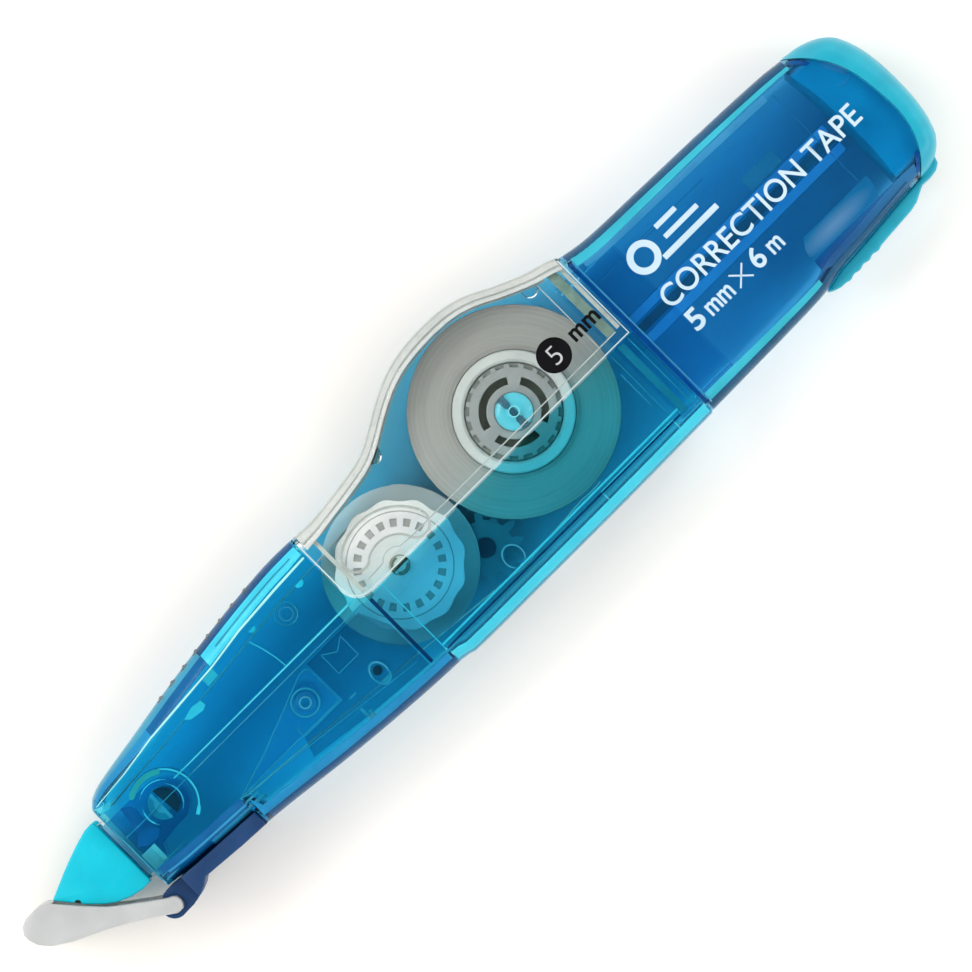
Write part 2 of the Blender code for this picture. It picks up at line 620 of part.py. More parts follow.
# ---------------------------------------------------------------- head
WEDGE = [
    (-55.2, 1.75), (-55.6, 2.05), (-56.6, 2.0), (-58.5, 1.45), (-61.5, 0.35), (-64.6, -1.0),
    (-64.8, -1.15), (-64.6, -1.4), (-62.3, -4.2), (-60.9, -5.6), (-59.8, -6.4), (-58.2, -7.1),
    (-56.6, -7.45), (-55.6, -7.45), (-55.2, -7.1),
]
BLADE = [
    (-55.2, 1.1), (-56.6, 1.3), (-58.5, 0.8), (-61.3, -0.25), (-63.6, -1.2), (-63.75, -1.45),
    (-61.8, -3.9), (-60.4, -5.2), (-59.3, -5.85), (-57.9, -6.5), (-56.5, -6.85), (-55.2, -6.8),
]
head_wedge = prism("head_wedge", [BLADE], WEDGE_Z0 + 0.5, WEDGE_Z1 - 0.5, CYAN)
for i, z in enumerate((WEDGE_Z0, WEDGE_Z1 - FLANGE_T)):
    flange = prism(f"wedge_flange_tool_{i + 1}", [WEDGE], z, z + FLANGE_T, cutter=True)
    boolean(head_wedge, flange, "UNION")
pin_hole = rod("guide_pin_hole", (-61.9, -2.75), 0.62, 2.0, 10.2, steps=20, cutter=True)
boolean(head_wedge, pin_hole, "DIFFERENCE")
flange_notch = rod("flange_notch", (-63.0, -3.35), 0.42, WEDGE_Z1 - FLANGE_T - 0.3, 12.0, steps=18, cutter=True)
boolean(head_wedge, flange_notch, "DIFFERENCE")
tip_guide_pin = rod("tip_guide_pin", (-61.9, -2.75), 0.5, WEDGE_Z0 + 0.2, 9.9, STEEL, 20)

CARRIER = [
    (-54.9, 0.85), (-54.9, -6.9), (-52.0, -6.9), (-51.2, -5.4), (-48.6, -5.05),
]
carrier_outline = CARRIER + arc(HEAD_PIVOT, 2.95, -90.0, 90.0, 12)[1:] + [(-51.2, 0.85)]
head_carrier = prism("head_carrier", [carrier_outline, circle(HEAD_PIVOT, 1.95 + RUN, 32)],
                     WEDGE_Z0 + 0.3, WEDGE_Z1 - 0.3, BLUE_DARK)
head_pivot = tube("head_pivot", HEAD_PIVOT, 1.1, 1.95, 1.8, 12.1, BLUE, 32)
spring_outline = arc(HEAD_PIVOT, 4.1, -62.0, 122.0, 18) + arc(HEAD_PIVOT, 3.7, 122.0, -62.0, 18)
head_spring = prism("head_spring", [spring_outline], 8.4, 11.4, LIGHT_BLUE)
head_stop = prism("head_stop", [box_outline(-53.9, -51.9, -7.2, -4.7)], 11.0, 11.5, LIGHT_BLUE)

TIP_PATH = [
    (-54.4, -7.45), (-55.6, -7.25), (-56.7, -7.1), (-58.1, -6.75), (-59.5, -6.1), (-60.6, -5.35),
    (-62.1, -3.9), (-63.9, -1.75), (-64.2, -1.35), (-63.9, -1.0), (-61.4, 0.05), (-58.6, 1.1),
    (-56.7, 1.62), (-55.2, 1.45), (-54.4, 1.4),
]
tape_tip = ribbon("tape_tip", TIP_PATH[::-1], TAPE_T, TAPE_FILM)

# ---------------------------------------------------------------- tip guard and bracket
BRACKET = [
    (-41.2, -10.55), (-41.2, -12.15), (-45.0, -11.95), (-50.4, -11.5), (-51.2, -12.1),
    (-52.0, -12.45), (-52.5, -12.6), (-52.5, -10.2), (-50.0, -10.05),
]
EAR = [(-51.8, -10.3), (-52.4, -9.85), (-54.2, -9.6), (-55.3, -9.55), (-55.7, -9.75)]
EAR += arc(GUARD_HINGE, TRUNNION_R + 0.08, 95.0, -185.0, 22)
EAR += arc(GUARD_HINGE, 1.62, -185.0, -80.0, 9)
EAR += [(-53.6, -12.82), (-52.3, -12.5), (-51.8, -12.25)]
guard_bracket = prism("guard_bracket", [BRACKET], 1.3, 12.7, BLUE_DARK)
for i, z in enumerate((3.2, 9.6)):
    ear = prism(f"ear_tool_{i + 1}", [EAR], z, z + 1.4, cutter=True)
    boolean(guard_bracket, ear, "UNION")

GUARD = [
    (-65.15, -1.15), (-65.9, -0.6), (-67.0, -0.35), (-68.4, -0.4), (-69.3, -0.8), (-69.85, -1.6),
    (-69.9, -2.3), (-69.5, -3.5), (-68.5, -4.7), (-66.4, -6.05), (-62.8, -7.75), (-60.4, -9.05),
    (-58.6, -10.15), (-57.0, -11.25),
]
GUARD += arc(GUARD_HINGE, TRUNNION_R, 229.0, 409.0, 12)
GUARD += [(-55.7, -9.85), (-57.0, -8.9), (-58.1, -8.05), (-59.2, -7.2), (-60.8, -5.9), (-62.6, -4.0)]
GUARD_INSIDE = [
    (-64.2, -1.2), (-66.4, -1.3), (-68.0, -1.3), (-68.8, -1.9), (-68.7, -2.9), (-67.9, -3.9),
    (-65.9, -5.1), (-62.4, -6.75), (-60.6, -7.6), (-59.6, -6.2), (-61.0, -4.8), (-62.6, -2.6),
]
tip_guard = prism("tip_guard", [GUARD], 2.0, 12.2, MILKY)
guard_hollow = prism("guard_hollow", [GUARD_INSIDE], 2.9, 11.3, cutter=True)
boolean(tip_guard, guard_hollow, "DIFFERENCE")
ear_space = rod("ear_space", GUARD_HINGE, 2.9, 2.9, 11.3, steps=28, cutter=True)
boolean(tip_guard, ear_space, "DIFFERENCE")
trunnion_tool = rod("trunnion_tool", GUARD_HINGE, TRUNNION_R - 0.01, 2.4, 11.8, steps=28, cutter=True)
boolean(tip_guard, trunnion_tool, "UNION")

# ---------------------------------------------------------------- motion axes
def on_axis(name, point, pieces, carrier=None):
    """Put an empty on a joint's axis and hang its pieces there, their origins on the axis."""
    axis = bpy.data.objects.new(name, None)
    axis.empty_display_size = mm(6.0)
    PARTS.objects.link(axis)
    here = tuple(mm(value) for value in point)
    if carrier is None:
        axis.location = here
    else:
        axis.parent = carrier
        axis.location = tuple(a - b for a, b in zip(here, carrier.location))
    for piece in pieces:
        piece.data.transform(Matrix.Translation(here).inverted())
        piece.parent = axis
    return axis


on_axis("guard_axis", (*GUARD_HINGE, ZC), [tip_guard])
on_axis("head_axis", (*HEAD_PIVOT, ZC), [head_wedge, tip_guide_pin, head_carrier, tape_tip])
supply_axis = on_axis("supply_drive_axis", (*SUPPLY, ZC), [supply_gear, clutch_ring])
on_axis("supply_reel_axis", (*SUPPLY, ZC), [supply_core, tape_roll], supply_axis)
on_axis("idler_axis", (*IDLER, ZC), [idler_gear])
on_axis("takeup_axis", (*TAKEUP, ZC), [takeup_gear, takeup_hub, takeup_flange, takeup_tape])
on_axis("window_slide", (0.5 * (WINDOW_LEFT + WINDOW_RIGHT), 6.0, ZC + HALF), [window_cover])
tail_slide = on_axis("tail_slide", (TAIL_X0, -2.5, ZC), [tail_shell])
on_axis("cap_slide", (TAIL_X1, -2.5, ZC), [tail_cap], tail_slide)
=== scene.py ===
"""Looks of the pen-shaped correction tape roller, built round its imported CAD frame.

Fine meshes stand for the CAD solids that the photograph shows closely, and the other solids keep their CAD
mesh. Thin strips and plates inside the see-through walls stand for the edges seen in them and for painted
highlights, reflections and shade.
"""

import math

import bmesh
import bpy
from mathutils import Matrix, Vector


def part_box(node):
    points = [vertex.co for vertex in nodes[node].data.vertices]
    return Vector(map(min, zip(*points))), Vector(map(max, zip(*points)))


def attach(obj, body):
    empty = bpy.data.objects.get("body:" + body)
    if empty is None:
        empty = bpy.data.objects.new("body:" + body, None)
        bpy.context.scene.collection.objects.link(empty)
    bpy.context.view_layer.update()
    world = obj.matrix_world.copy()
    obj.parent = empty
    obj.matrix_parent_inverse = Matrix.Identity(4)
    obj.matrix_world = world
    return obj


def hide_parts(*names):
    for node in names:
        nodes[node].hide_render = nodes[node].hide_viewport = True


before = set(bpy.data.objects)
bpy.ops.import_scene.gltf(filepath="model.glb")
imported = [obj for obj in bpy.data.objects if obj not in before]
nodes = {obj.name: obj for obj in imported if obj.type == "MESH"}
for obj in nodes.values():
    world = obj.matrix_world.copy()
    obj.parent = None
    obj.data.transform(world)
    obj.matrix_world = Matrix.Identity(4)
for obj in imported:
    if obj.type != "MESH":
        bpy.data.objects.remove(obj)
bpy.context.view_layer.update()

# Sizes are in millimetres: X runs from tip to tail, Y towards the bump, Z up to the photographed side.
MM = 0.001
ZC = 7.0
HALF = 7.0
HALF_NOSE = 6.3
WALL = 1.2
GAP = 0.3
FACE = ZC + HALF
NEAR_INNER_Z = FACE - WALL
ROOT_Z = NEAR_INNER_Z + 0.4
TAPE_LOW, TAPE_HIGH = 4.6, 9.6
BODY_X0, BODY_X1 = -54.2, 28.0
BRACKET_STEP_X = -41.0
TAIL_X0, TAIL_X1 = 28.3, 62.7
TAIL_STRAIGHT = 59.55
TAIL_BULGE, TAIL_TILT, TAIL_NARROWING = 4.3, 0.21, 0.4
CAP_GAP, CAP_X0, CAP_CROWN = 0.2, 63.9, 6.0
CAP_Y, CAP_REACH, CAP_SQUARE = -2.85, 10.75, 2.4
CAP_ROUND_Y, CAP_ROUND_Z = 3.2, 3.6
CAP_DOME, CAP_PLUG = 0.1, WALL + 0.25
# rounded edges: their height at the front, along the nose, by the window and below, and their depth
NOSE_ROUND, BODY_ROUND, WINDOW_ROUND, LOWER_ROUND = 1.3, 2.7, 1.7, 2.4
BODY_ROUND_Z, WINDOW_ROUND_Z = 3.4, 2.0
TAIL_ROUND, TAIL_ROUND_Z = 2.7, 3.6
WINDOW_LEFT, WINDOW_BOTTOM, WINDOW_RIGHT, WINDOW_CORNER = -16.3, -1.8, 27.7, 2.4
SLOT_RADIUS, SLOT_HALF, SLOT_START, SLOT_STOP = 5.1, 1.35, 24.0, 126.0
SHARP_ANGLE = 35.0


def centre_of(node):
    low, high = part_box(node)
    return ((low.x + high.x) * 500.0, (low.y + high.y) * 500.0)


SUPPLY = centre_of("supply_spindle")
TAKEUP = centre_of("takeup_pin")
HEAD_PIVOT = centre_of("head_pivot")
GUARD_HINGE = (-55.25, -11.25)

TOP_EDGE = [
    (-54.2, 3.3), (-53.4, 4.0), (-52.0, 4.55), (-50.0, 4.95), (-45.0, 5.75), (-40.0, 6.6),
    (-35.0, 7.35), (-30.0, 8.0), (-25.0, 8.55), (-20.0, 8.9), (-16.0, 8.8), (-13.0, 8.7),
    (-10.0, 9.0), (-6.6, 9.5), (-4.4, 9.95), (-2.8, 10.6), (-1.7, 11.2), (1.0, 12.8),
    (3.8, 14.2), (6.5, 15.05), (9.2, 15.4), (11.9, 15.46), (14.7, 15.25), (17.4, 14.45),
    (20.1, 13.1), (22.9, 11.85), (24.5, 11.25), (26.2, 10.8), (28.0, 10.1),
]
BOTTOM_EDGE_FRONT = [(-54.2, -9.2), (-50.0, -9.7), (-41.0, -10.2)]
BOTTOM_EDGE = [
    (-41.0, -12.15), (-38.0, -12.45), (-35.0, -12.8), (-30.0, -13.4), (-25.0, -13.9),
    (-20.0, -14.3), (-15.0, -14.6), (-11.6, -14.75), (-10.4, -15.1), (0.0, -15.15),
    (15.0, -15.15), (28.0, -15.0),
]
TAIL_TOP = [
    (28.3, 9.95), (30.0, 9.55), (33.0, 9.25), (40.0, 9.05), (50.0, 8.75), (58.0, 8.4), (64.0, 7.9),
]
TAIL_BOTTOM = [
    (28.3, -14.85), (40.0, -14.7), (46.5, -14.5), (48.5, -14.1), (50.0, -13.8),
    (55.0, -13.5), (60.0, -13.05), (64.0, -12.7),
]


# ---------------- materials
def node_material(name):
    mat = bpy.data.materials.new(name)
    mat.use_nodes = True
    tree = mat.node_tree
    tree.nodes.clear()
    out = tree.nodes.new("ShaderNodeOutputMaterial")
    shader = tree.nodes.new("ShaderNodeBsdfPrincipled")
    tree.links.new(shader.outputs[0], out.inputs["Surface"])
    return mat, tree, shader, out


def coords(tree, scale=(1.0, 1.0, 1.0)):
    """Object coordinates in millimetres, stretched by scale."""
    source = tree.nodes.new("ShaderNodeTexCoord")
    mapping = tree.nodes.new("ShaderNodeMapping")
    mapping.inputs["Scale"].default_value = [1000.0 * s for s in scale]
    tree.links.new(source.outputs["Object"], mapping.inputs["Vector"])
    return mapping.outputs[0]


def noise(tree, vector, scale, detail=3.0):
    node = tree.nodes.new("ShaderNodeTexNoise")
    node.inputs["Scale"].default_value = scale
    node.inputs["Detail"].default_value = detail
    tree.links.new(vector, node.inputs["Vector"])
    return node.outputs["Fac"]


def ramp(tree, fac, low, high, stops=(0.3, 0.7)):
    node = tree.nodes.new("ShaderNodeValToRGB")
    node.color_ramp.elements[0].position = stops[0]
    node.color_ramp.elements[1].position = stops[1]
    node.color_ramp.elements[0].color = (*low, 1.0)
    node.color_ramp.elements[1].color = (*high, 1.0)
    tree.links.new(fac, node.inputs["Fac"])
    return node.outputs["Color"]


def spread(tree, fac, low, high):
    node = tree.nodes.new("ShaderNodeMapRange")
    node.inputs["From Min"].default_value = 0.3
    node.inputs["From Max"].default_value = 0.7
    node.inputs["To Min"].default_value = low
    node.inputs["To Max"].default_value = high
    tree.links.new(fac, node.inputs["Value"])
    return node.outputs["Result"]


def bump(tree, shader, height, strength, distance=0.0002):
    node = tree.nodes.new("ShaderNodeBump")
    node.inputs["Strength"].default_value = strength
    node.inputs["Distance"].default_value = distance
    tree.links.new(height, node.inputs["Height"])
    tree.links.new(node.outputs[0], shader.inputs["Normal"])


def paint(tree, shader, colour, roughness):
    """Drive the shader's colour and roughness from two sockets."""
    tree.links.new(colour, shader.inputs["Base Color"])
    tree.links.new(roughness, shader.inputs["Roughness"])


def moulded(name, low, high, rough=(0.3, 0.45), grain=3.0, strength=0.1, specular=0.5, mottle=0.22,
            sheen=0.9):
    """Opaque moulded plastic: faint mottling, fine spark grain, uneven sheen."""
    mat, tree, shader, _ = node_material(name)
    where = coords(tree)
    colour = ramp(tree, noise(tree, where, mottle), low, high)
    paint(tree, shader, colour, spread(tree, noise(tree, where, sheen), *rough))
    bump(tree, shader, noise(tree, where, grain, 2.0), strength, 0.00005)
    shader.inputs["Specular IOR Level"].default_value = specular
    return mat


def see_through(name, low, high, shadow, rough=(0.02, 0.06), ior=1.46, strength=0.05):
    """Tinted glassy plastic; lamps shine through it with the colour of shadow."""
    mat, tree, shader, out = node_material(name)
    where = coords(tree, (0.25, 1.0, 1.0))
    colour = ramp(tree, noise(tree, where, 0.18), low, high)
    paint(tree, shader, colour, spread(tree, noise(tree, where, 0.6), *rough))
    bump(tree, shader, noise(tree, where, 0.35, 2.0), strength)
    shader.inputs["Transmission Weight"].default_value = 1.0
    shader.inputs["IOR"].default_value = ior
    clear = tree.nodes.new("ShaderNodeBsdfTransparent")
    clear.inputs["Color"].default_value = (*shadow, 1.0)
    mix = tree.nodes.new("ShaderNodeMixShader")
    path = tree.nodes.new("ShaderNodeLightPath")
    tree.links.new(path.outputs["Is Shadow Ray"], mix.inputs[0])
    tree.links.new(shader.outputs[0], mix.inputs[1])
    tree.links.new(clear.outputs[0], mix.inputs[2])
    tree.links.new(mix.outputs[0], out.inputs["Surface"])
    return mat


def distance_from(tree, centre, half=(1.0, 1.0)):
    """Distance from centre in the plane, counted in units of half."""
    source = tree.nodes.new("ShaderNodeTexCoord")
    steps = {"SUBTRACT": (centre[0] * MM, centre[1] * MM, 0.0),
             "MULTIPLY": (1.0 / (half[0] * MM), 1.0 / (half[1] * MM), 0.0), "LENGTH": (0.0, 0.0, 0.0)}
    vector = source.outputs["Object"]
    for operation, value in steps.items():
        node = tree.nodes.new("ShaderNodeVectorMath")
        node.operation = operation
        node.inputs[1].default_value = value
        tree.links.new(vector, node.inputs[0])
        vector = node.outputs[0]
    return node.outputs["Value"]


def wound(name, centre, low, high, pitch):
    """Edge of wound tape: fine rings about centre with soft uneven bands."""
    mat, tree, shader, _ = node_material(name)
    rings = tree.nodes.new("ShaderNodeTexNoise")
    rings.noise_dimensions = "1D"
    rings.inputs["Scale"].default_value = pitch
    rings.inputs["Detail"].default_value = 4.0
    tree.links.new(distance_from(tree, centre), rings.inputs["W"])
    band = rings.outputs["Fac"]
    paint(tree, shader, ramp(tree, band, low, high, (0.25, 0.75)), spread(tree, band, 0.55, 0.75))
    bump(tree, shader, band, 0.25, 0.0001)
    return mat


def soft_spot(name, centre, half, middle, edge):
    """Patch of colour that fades from middle to edge; half is its half size."""
    mat, tree, shader, _ = node_material(name)
    where = coords(tree)
    colour = ramp(tree, distance_from(tree, centre, half), middle, edge, (0.1, 0.95))
    paint(tree, shader, colour, spread(tree, noise(tree, where, 3.0), 0.3, 0.45))
    bump(tree, shader, noise(tree, where, 3.0, 2.0), 0.1, 0.00005)
    return mat


def along_x(tree, stops):
    """Colour that changes along the body: stops are (x in mm, colour)."""
    source = tree.nodes.new("ShaderNodeTexCoord")
    split = tree.nodes.new("ShaderNodeSeparateXYZ")
    tree.links.new(source.outputs["Object"], split.inputs[0])
    place = tree.nodes.new("ShaderNodeMapRange")
    place.inputs["From Min"].default_value = stops[0][0] * MM
    place.inputs["From Max"].default_value = stops[-1][0] * MM
    tree.links.new(split.outputs["X"], place.inputs["Value"])
    node = tree.nodes.new("ShaderNodeValToRGB")
    elements = node.color_ramp.elements
    while len(elements) < len(stops):
        elements.new(0.5)
    span = stops[-1][0] - stops[0][0]
    for element, (x, _) in zip(elements, stops):
        element.position = (x - stops[0][0]) / span
    for element, (_, colour) in zip(elements, stops):
        element.color = (*colour, 1.0)
    tree.links.new(place.outputs["Result"], node.inputs["Fac"])
    return node.outputs["Color"]


SHADOW = (0.90, 0.935, 0.945)
WALL_IOR = 1.2
SHEET_IOR = 1.05
COARSE = {"grain": 4.0, "strength": 0.12}
DULL = {"specular": 0.2}
UNEVEN = {"rough": (0.3, 0.5)}
M = {
    # walls and other see-through parts: the two ends of their mottling, and the colour of their shadow
    "blue": see_through("blue_see_through", (0.13, 0.64, 0.76), (0.155, 0.69, 0.79), SHADOW, ior=WALL_IOR),
    "blue_far": see_through("blue_far_side", (0.08, 0.48, 0.78), (0.10, 0.53, 0.82), SHADOW, ior=WALL_IOR),
    "tail": see_through("tail_see_through", (0.17, 0.56, 0.80), (0.21, 0.61, 0.85), SHADOW, ior=WALL_IOR),
    "clear": see_through("clear_see_through", (0.90, 0.95, 0.93), (0.95, 0.98, 0.96), (0.97, 0.98, 0.98)),
    "spindle": see_through("spindle_blue", (0.30, 0.85, 0.95), (0.36, 0.9, 0.98), (0.8, 0.95, 1.0),
                           rough=(0.02, 0.05)),
    "collar": see_through("collar_blue", (0.62, 0.86, 0.93), (0.68, 0.9, 0.96), (0.95, 0.97, 0.98),
                          ior=SHEET_IOR),
    "carrier": see_through("carrier_blue", (0.22, 0.60, 0.80), (0.28, 0.66, 0.85), (0.8, 0.9, 0.95),
                           ior=1.15),
    # two see-through sheets lay painted shade over parts inside: the lower right of the nose and the lower
    # half of the take-up disc
    "shade": see_through("painted_shade_sheet", (0.55, 0.60, 0.66), (0.60, 0.66, 0.71), (0.9, 0.95, 0.95),
                         ior=SHEET_IOR),
    "takeup_painted_shade": see_through("takeup_painted_shade", (0.68, 0.74, 0.84), (0.74, 0.80, 0.88), (0.9, 0.9, 0.95),
                               ior=SHEET_IOR),
    "light_blue": see_through("light_blue", (0.55, 0.85, 0.97), (0.6, 0.9, 1.0), (0.9, 0.95, 0.97),
                              rough=(0.1, 0.2)),
    "clear_green": see_through("clear_thick_wall", (0.25, 0.42, 0.38), (0.32, 0.5, 0.46), (0.9, 0.95, 0.93)),
    # faces and edges seen inside the blue walls; the lighter ones also serve as painted highlights and
    # reflections, the darkest as painted shade, the edge and slope colours as painted shade and light on the
    # rounded corners, and the crease colour as a painted highlight on the outer face
    "pale": moulded("pale_edges_and_highlights", (0.34, 0.70, 0.76), (0.46, 0.80, 0.84), **UNEVEN),
    "soft": moulded("soft_inner_faces", (0.10, 0.30, 0.42), (0.18, 0.38, 0.50), **UNEVEN),
    "deep": moulded("painted_deep_shade", (0.002, 0.012, 0.035), (0.006, 0.03, 0.06), (0.25, 0.4)),
    "highlight": moulded("painted_highlight_faces", (0.20, 0.70, 0.80), (0.28, 0.80, 0.88), **UNEVEN),
    "faint": moulded("faint_steps", (0.05, 0.22, 0.30), (0.08, 0.26, 0.35), **UNEVEN),
    "mid_blue": moulded("painted_rim_half_shade", (0.12, 0.34, 0.48), (0.18, 0.42, 0.56)),
    "edge_blue": moulded("painted_rim_shade", (0.004, 0.07, 0.20), (0.01, 0.10, 0.26), **DULL),
    "slope_blue": moulded("painted_slope_light", (0.03, 0.26, 0.50), (0.05, 0.32, 0.58)),
    "slope_dark": moulded("slope_shade", (0.004, 0.11, 0.30), (0.01, 0.15, 0.36), **DULL),
    "crease": moulded("crease_highlight", (0.30, 0.70, 0.68), (0.40, 0.80, 0.76), (0.2, 0.35), strength=0.05),
    "glint": moulded("glint_edge", (0.32, 0.78, 0.80), (0.42, 0.86, 0.86), (0.2, 0.3), strength=0.05),
    "leaf": moulded("leaf_spring_top", (0.16, 0.40, 0.36), (0.22, 0.48, 0.42)),
    "spine": moulded("spine_blue", (0.10, 0.36, 0.62), (0.14, 0.42, 0.68)),
    # the same inside the tail: painted shade on the rims, painted highlights beside them, a painted sheen
    # and a painted shadow
    "tail_edge": moulded("tail_painted_rim_shade", (0.004, 0.09, 0.16), (0.01, 0.12, 0.21), **DULL),
    "tail_soft": moulded("tail_second_highlight", (0.08, 0.28, 0.42), (0.12, 0.33, 0.48)),
    "tail_highlight": moulded("tail_highlight", (0.10, 0.60, 0.56), (0.15, 0.68, 0.64)),
    "tail_deep": moulded("deep_blue_faces", (0.02, 0.10, 0.16), (0.03, 0.14, 0.2), **UNEVEN),
    "lilac": soft_spot("lilac_sheen", (53.0, -9.6), (6.4, 1.4), (0.95, 0.43, 0.45), (0.05, 0.24, 0.33)),
    "tail_shadow": soft_spot("tail_shadow", (50.0, -11.8), (14.0, 1.6), (0.02, 0.09, 0.22),
                             (0.06, 0.20, 0.34)),
    # faces and edges of the clear window
    "lip_line": moulded("slot_lip", (0.28, 0.31, 0.29), (0.38, 0.41, 0.39), (0.2, 0.35), strength=0.05),
    "green_wall": moulded("green_end_wall", (0.13, 0.22, 0.19), (0.22, 0.32, 0.28), (0.2, 0.35), grain=1.0),
    "glint_clear": moulded("window_edge", (0.42, 0.55, 0.56), (0.52, 0.63, 0.62), (0.2, 0.3), strength=0.05),
    "clear_edge": moulded("clear_edges", (0.44, 0.48, 0.46), (0.54, 0.57, 0.55), (0.2, 0.35), strength=0.05),
    "clear_white": moulded("clear_lit_wall", (0.56, 0.57, 0.56), (0.68, 0.68, 0.66), (0.2, 0.35), grain=2.0),
    # opaque parts
    "gear": moulded("gear_plastic", (0.075, 0.36, 0.50), (0.105, 0.42, 0.56), (0.4, 0.55), **COARSE),
    "clutch": moulded("clutch_plastic", (0.27, 0.28, 0.28), (0.35, 0.36, 0.36), (0.35, 0.5), **COARSE),
    # the grip ridges' near-black colour is painted shade
    "grip": moulded("grip_ridge_shade", (0.002, 0.012, 0.035), (0.005, 0.02, 0.05), (0.7, 0.85), 4.0, 0.1, 0.0),
    "navy": moulded("navy_plastic", (0.003, 0.03, 0.10), (0.008, 0.045, 0.14), (0.35, 0.5), 4.0, 0.1, 0.3),
    "wedge": moulded("cyan_wedge", (0.0, 0.44, 0.56), (0.002, 0.50, 0.62), (0.32, 0.45), 5.0, 0.1, 0.25),
    "cap": moulded("cyan_cap", (0.003, 0.31, 0.43), (0.008, 0.39, 0.51), (0.3, 0.42), grain=5.0),
    "white": moulded("white_plastic", (0.76, 0.76, 0.75), (0.84, 0.84, 0.83), (0.35, 0.5), **COARSE),
    "core": moulded("core_plastic", (0.56, 0.57, 0.56), (0.64, 0.65, 0.64), (0.35, 0.5), **COARSE),
    "natural": moulded("natural_plastic", (0.36, 0.37, 0.35), (0.46, 0.46, 0.44), (0.4, 0.55), **COARSE),
    "cream": moulded("cream_pin", (0.60, 0.60, 0.52), (0.72, 0.72, 0.64), **COARSE),
    "hub": moulded("hub_plastic", (0.84, 0.86, 0.87), (0.90, 0.92, 0.93), (0.35, 0.5), **COARSE),
    # painted shade for the gaps between the clutch teeth, and for recesses and openings
    "rim_gap_shade": moulded("rim_gap_shade", (0.20, 0.22, 0.20), (0.27, 0.29, 0.27), (0.4, 0.6), **COARSE),
    "green": moulded("painted_recess_shade", (0.10, 0.14, 0.09), (0.16, 0.20, 0.14), (0.4, 0.6), **COARSE),
    "steel": moulded("dark_pin", (0.02, 0.025, 0.03), (0.05, 0.06, 0.07), (0.25, 0.4), **COARSE),
    "milky": moulded("milky_plastic", (0.58, 0.59, 0.585), (0.66, 0.67, 0.665), strength=0.08, mottle=0.3,
                     sheen=0.8),
    # tape
    "film": moulded("tape_film", (0.68, 0.68, 0.67), (0.76, 0.76, 0.75), (0.45, 0.6), 2.0, 0.05),
    "roll": wound("wound_tape", SUPPLY, (0.33, 0.32, 0.305), (0.40, 0.385, 0.37), 2.2),
    "used": wound("used_tape", TAKEUP, (0.42, 0.42, 0.41), (0.52, 0.52, 0.5), 3.0),
    # inks
    "white_ink": moulded("white_ink", (0.44, 0.60, 0.68), (0.52, 0.66, 0.74), (0.5, 0.65), 6.0, 0.05, 0.2),
    "disc_ink": moulded("disc_ink", (0.40, 0.41, 0.42), (0.48, 0.49, 0.50), (0.4, 0.55), 6.0, 0.05),
    "black_ink": moulded("black_ink", (0.002, 0.002, 0.003), (0.006, 0.006, 0.007), (0.6, 0.75), 6.0, 0.05,
                         0.05),
}


def shader_of(mat):
    return next(node for node in mat.node_tree.nodes if node.type == "BSDF_PRINCIPLED")


shader_of(M["milky"]).inputs["Transmission Weight"].default_value = 0.35

# the far wall's colour changes along the body as painted light and shade, greyer behind the reels
FAR_WALL_STOPS = [
    (-55.0, (0.06, 0.66, 0.95)), (-34.0, (0.07, 0.62, 0.93)), (-20.0, (0.09, 0.66, 0.93)),
    (0.0, (0.18, 0.58, 0.76)), (28.0, (0.18, 0.68, 0.93)),
]
far_tree = M["blue_far"].node_tree
far_tree.links.new(along_x(far_tree, FAR_WALL_STOPS), shader_of(M["blue_far"]).inputs["Base Color"])


# ---------------- mesh helpers
def show(name, mesh, mat):
    """Shade a mesh smooth up to SHARP_ANGLE and put it in the scene."""
    mesh.materials.clear()
    if mat is not None:
        mesh.materials.append(mat)
    mesh.shade_smooth()
    mesh.set_sharp_from_angle(angle=math.radians(SHARP_ANGLE))
    obj = bpy.data.objects.new(name, mesh)
    bpy.context.scene.collection.objects.link(obj)
    return obj


def finish_mesh(name, mesh, mat):
    """Merge doubled points and turn all faces outwards before the mesh is shown."""
    bm = bmesh.new()
    bm.from_mesh(mesh)
    bmesh.ops.remove_doubles(bm, verts=bm.verts, dist=0.000001)
    bmesh.ops.recalc_face_normals(bm, faces=bm.faces)
    bm.to_mesh(mesh)
    bm.free()
    return show(name, mesh, mat)


def evaluated_mesh(helper):
    bpy.context.scene.collection.objects.link(helper)
    graph = bpy.context.evaluated_depsgraph_get()
    mesh = bpy.data.meshes.new_from_object(helper.evaluated_get(graph))
    bpy.data.objects.remove(helper, do_unlink=True)
    return mesh


def prism(name, outlines, z0, z1, mat=None, round_edge=0.0):
    """Extruded outline with its edges rounded off by round_edge."""
    curve = bpy.data.curves.new(name, "CURVE")
    curve.dimensions = "2D"
    curve.fill_mode = "BOTH"
    curve.extrude = ((z1 - z0) / 2.0 - round_edge) * MM
    curve.bevel_depth = round_edge * MM
    curve.bevel_resolution = 2
    curve.offset = -round_edge * MM
    for outline in outlines:
        spline = curve.splines.new("POLY")
        spline.points.add(len(outline) - 1)
        for point, (x, y) in zip(spline.points, outline):
            point.co = (x * MM, y * MM, 0.0, 1.0)
        spline.use_cyclic_u = True
    mesh = evaluated_mesh(bpy.data.objects.new(name, curve))
    for vertex in mesh.vertices:
        vertex.co.z += (z0 + z1) / 2.0 * MM
    return finish_mesh(name, mesh, mat)


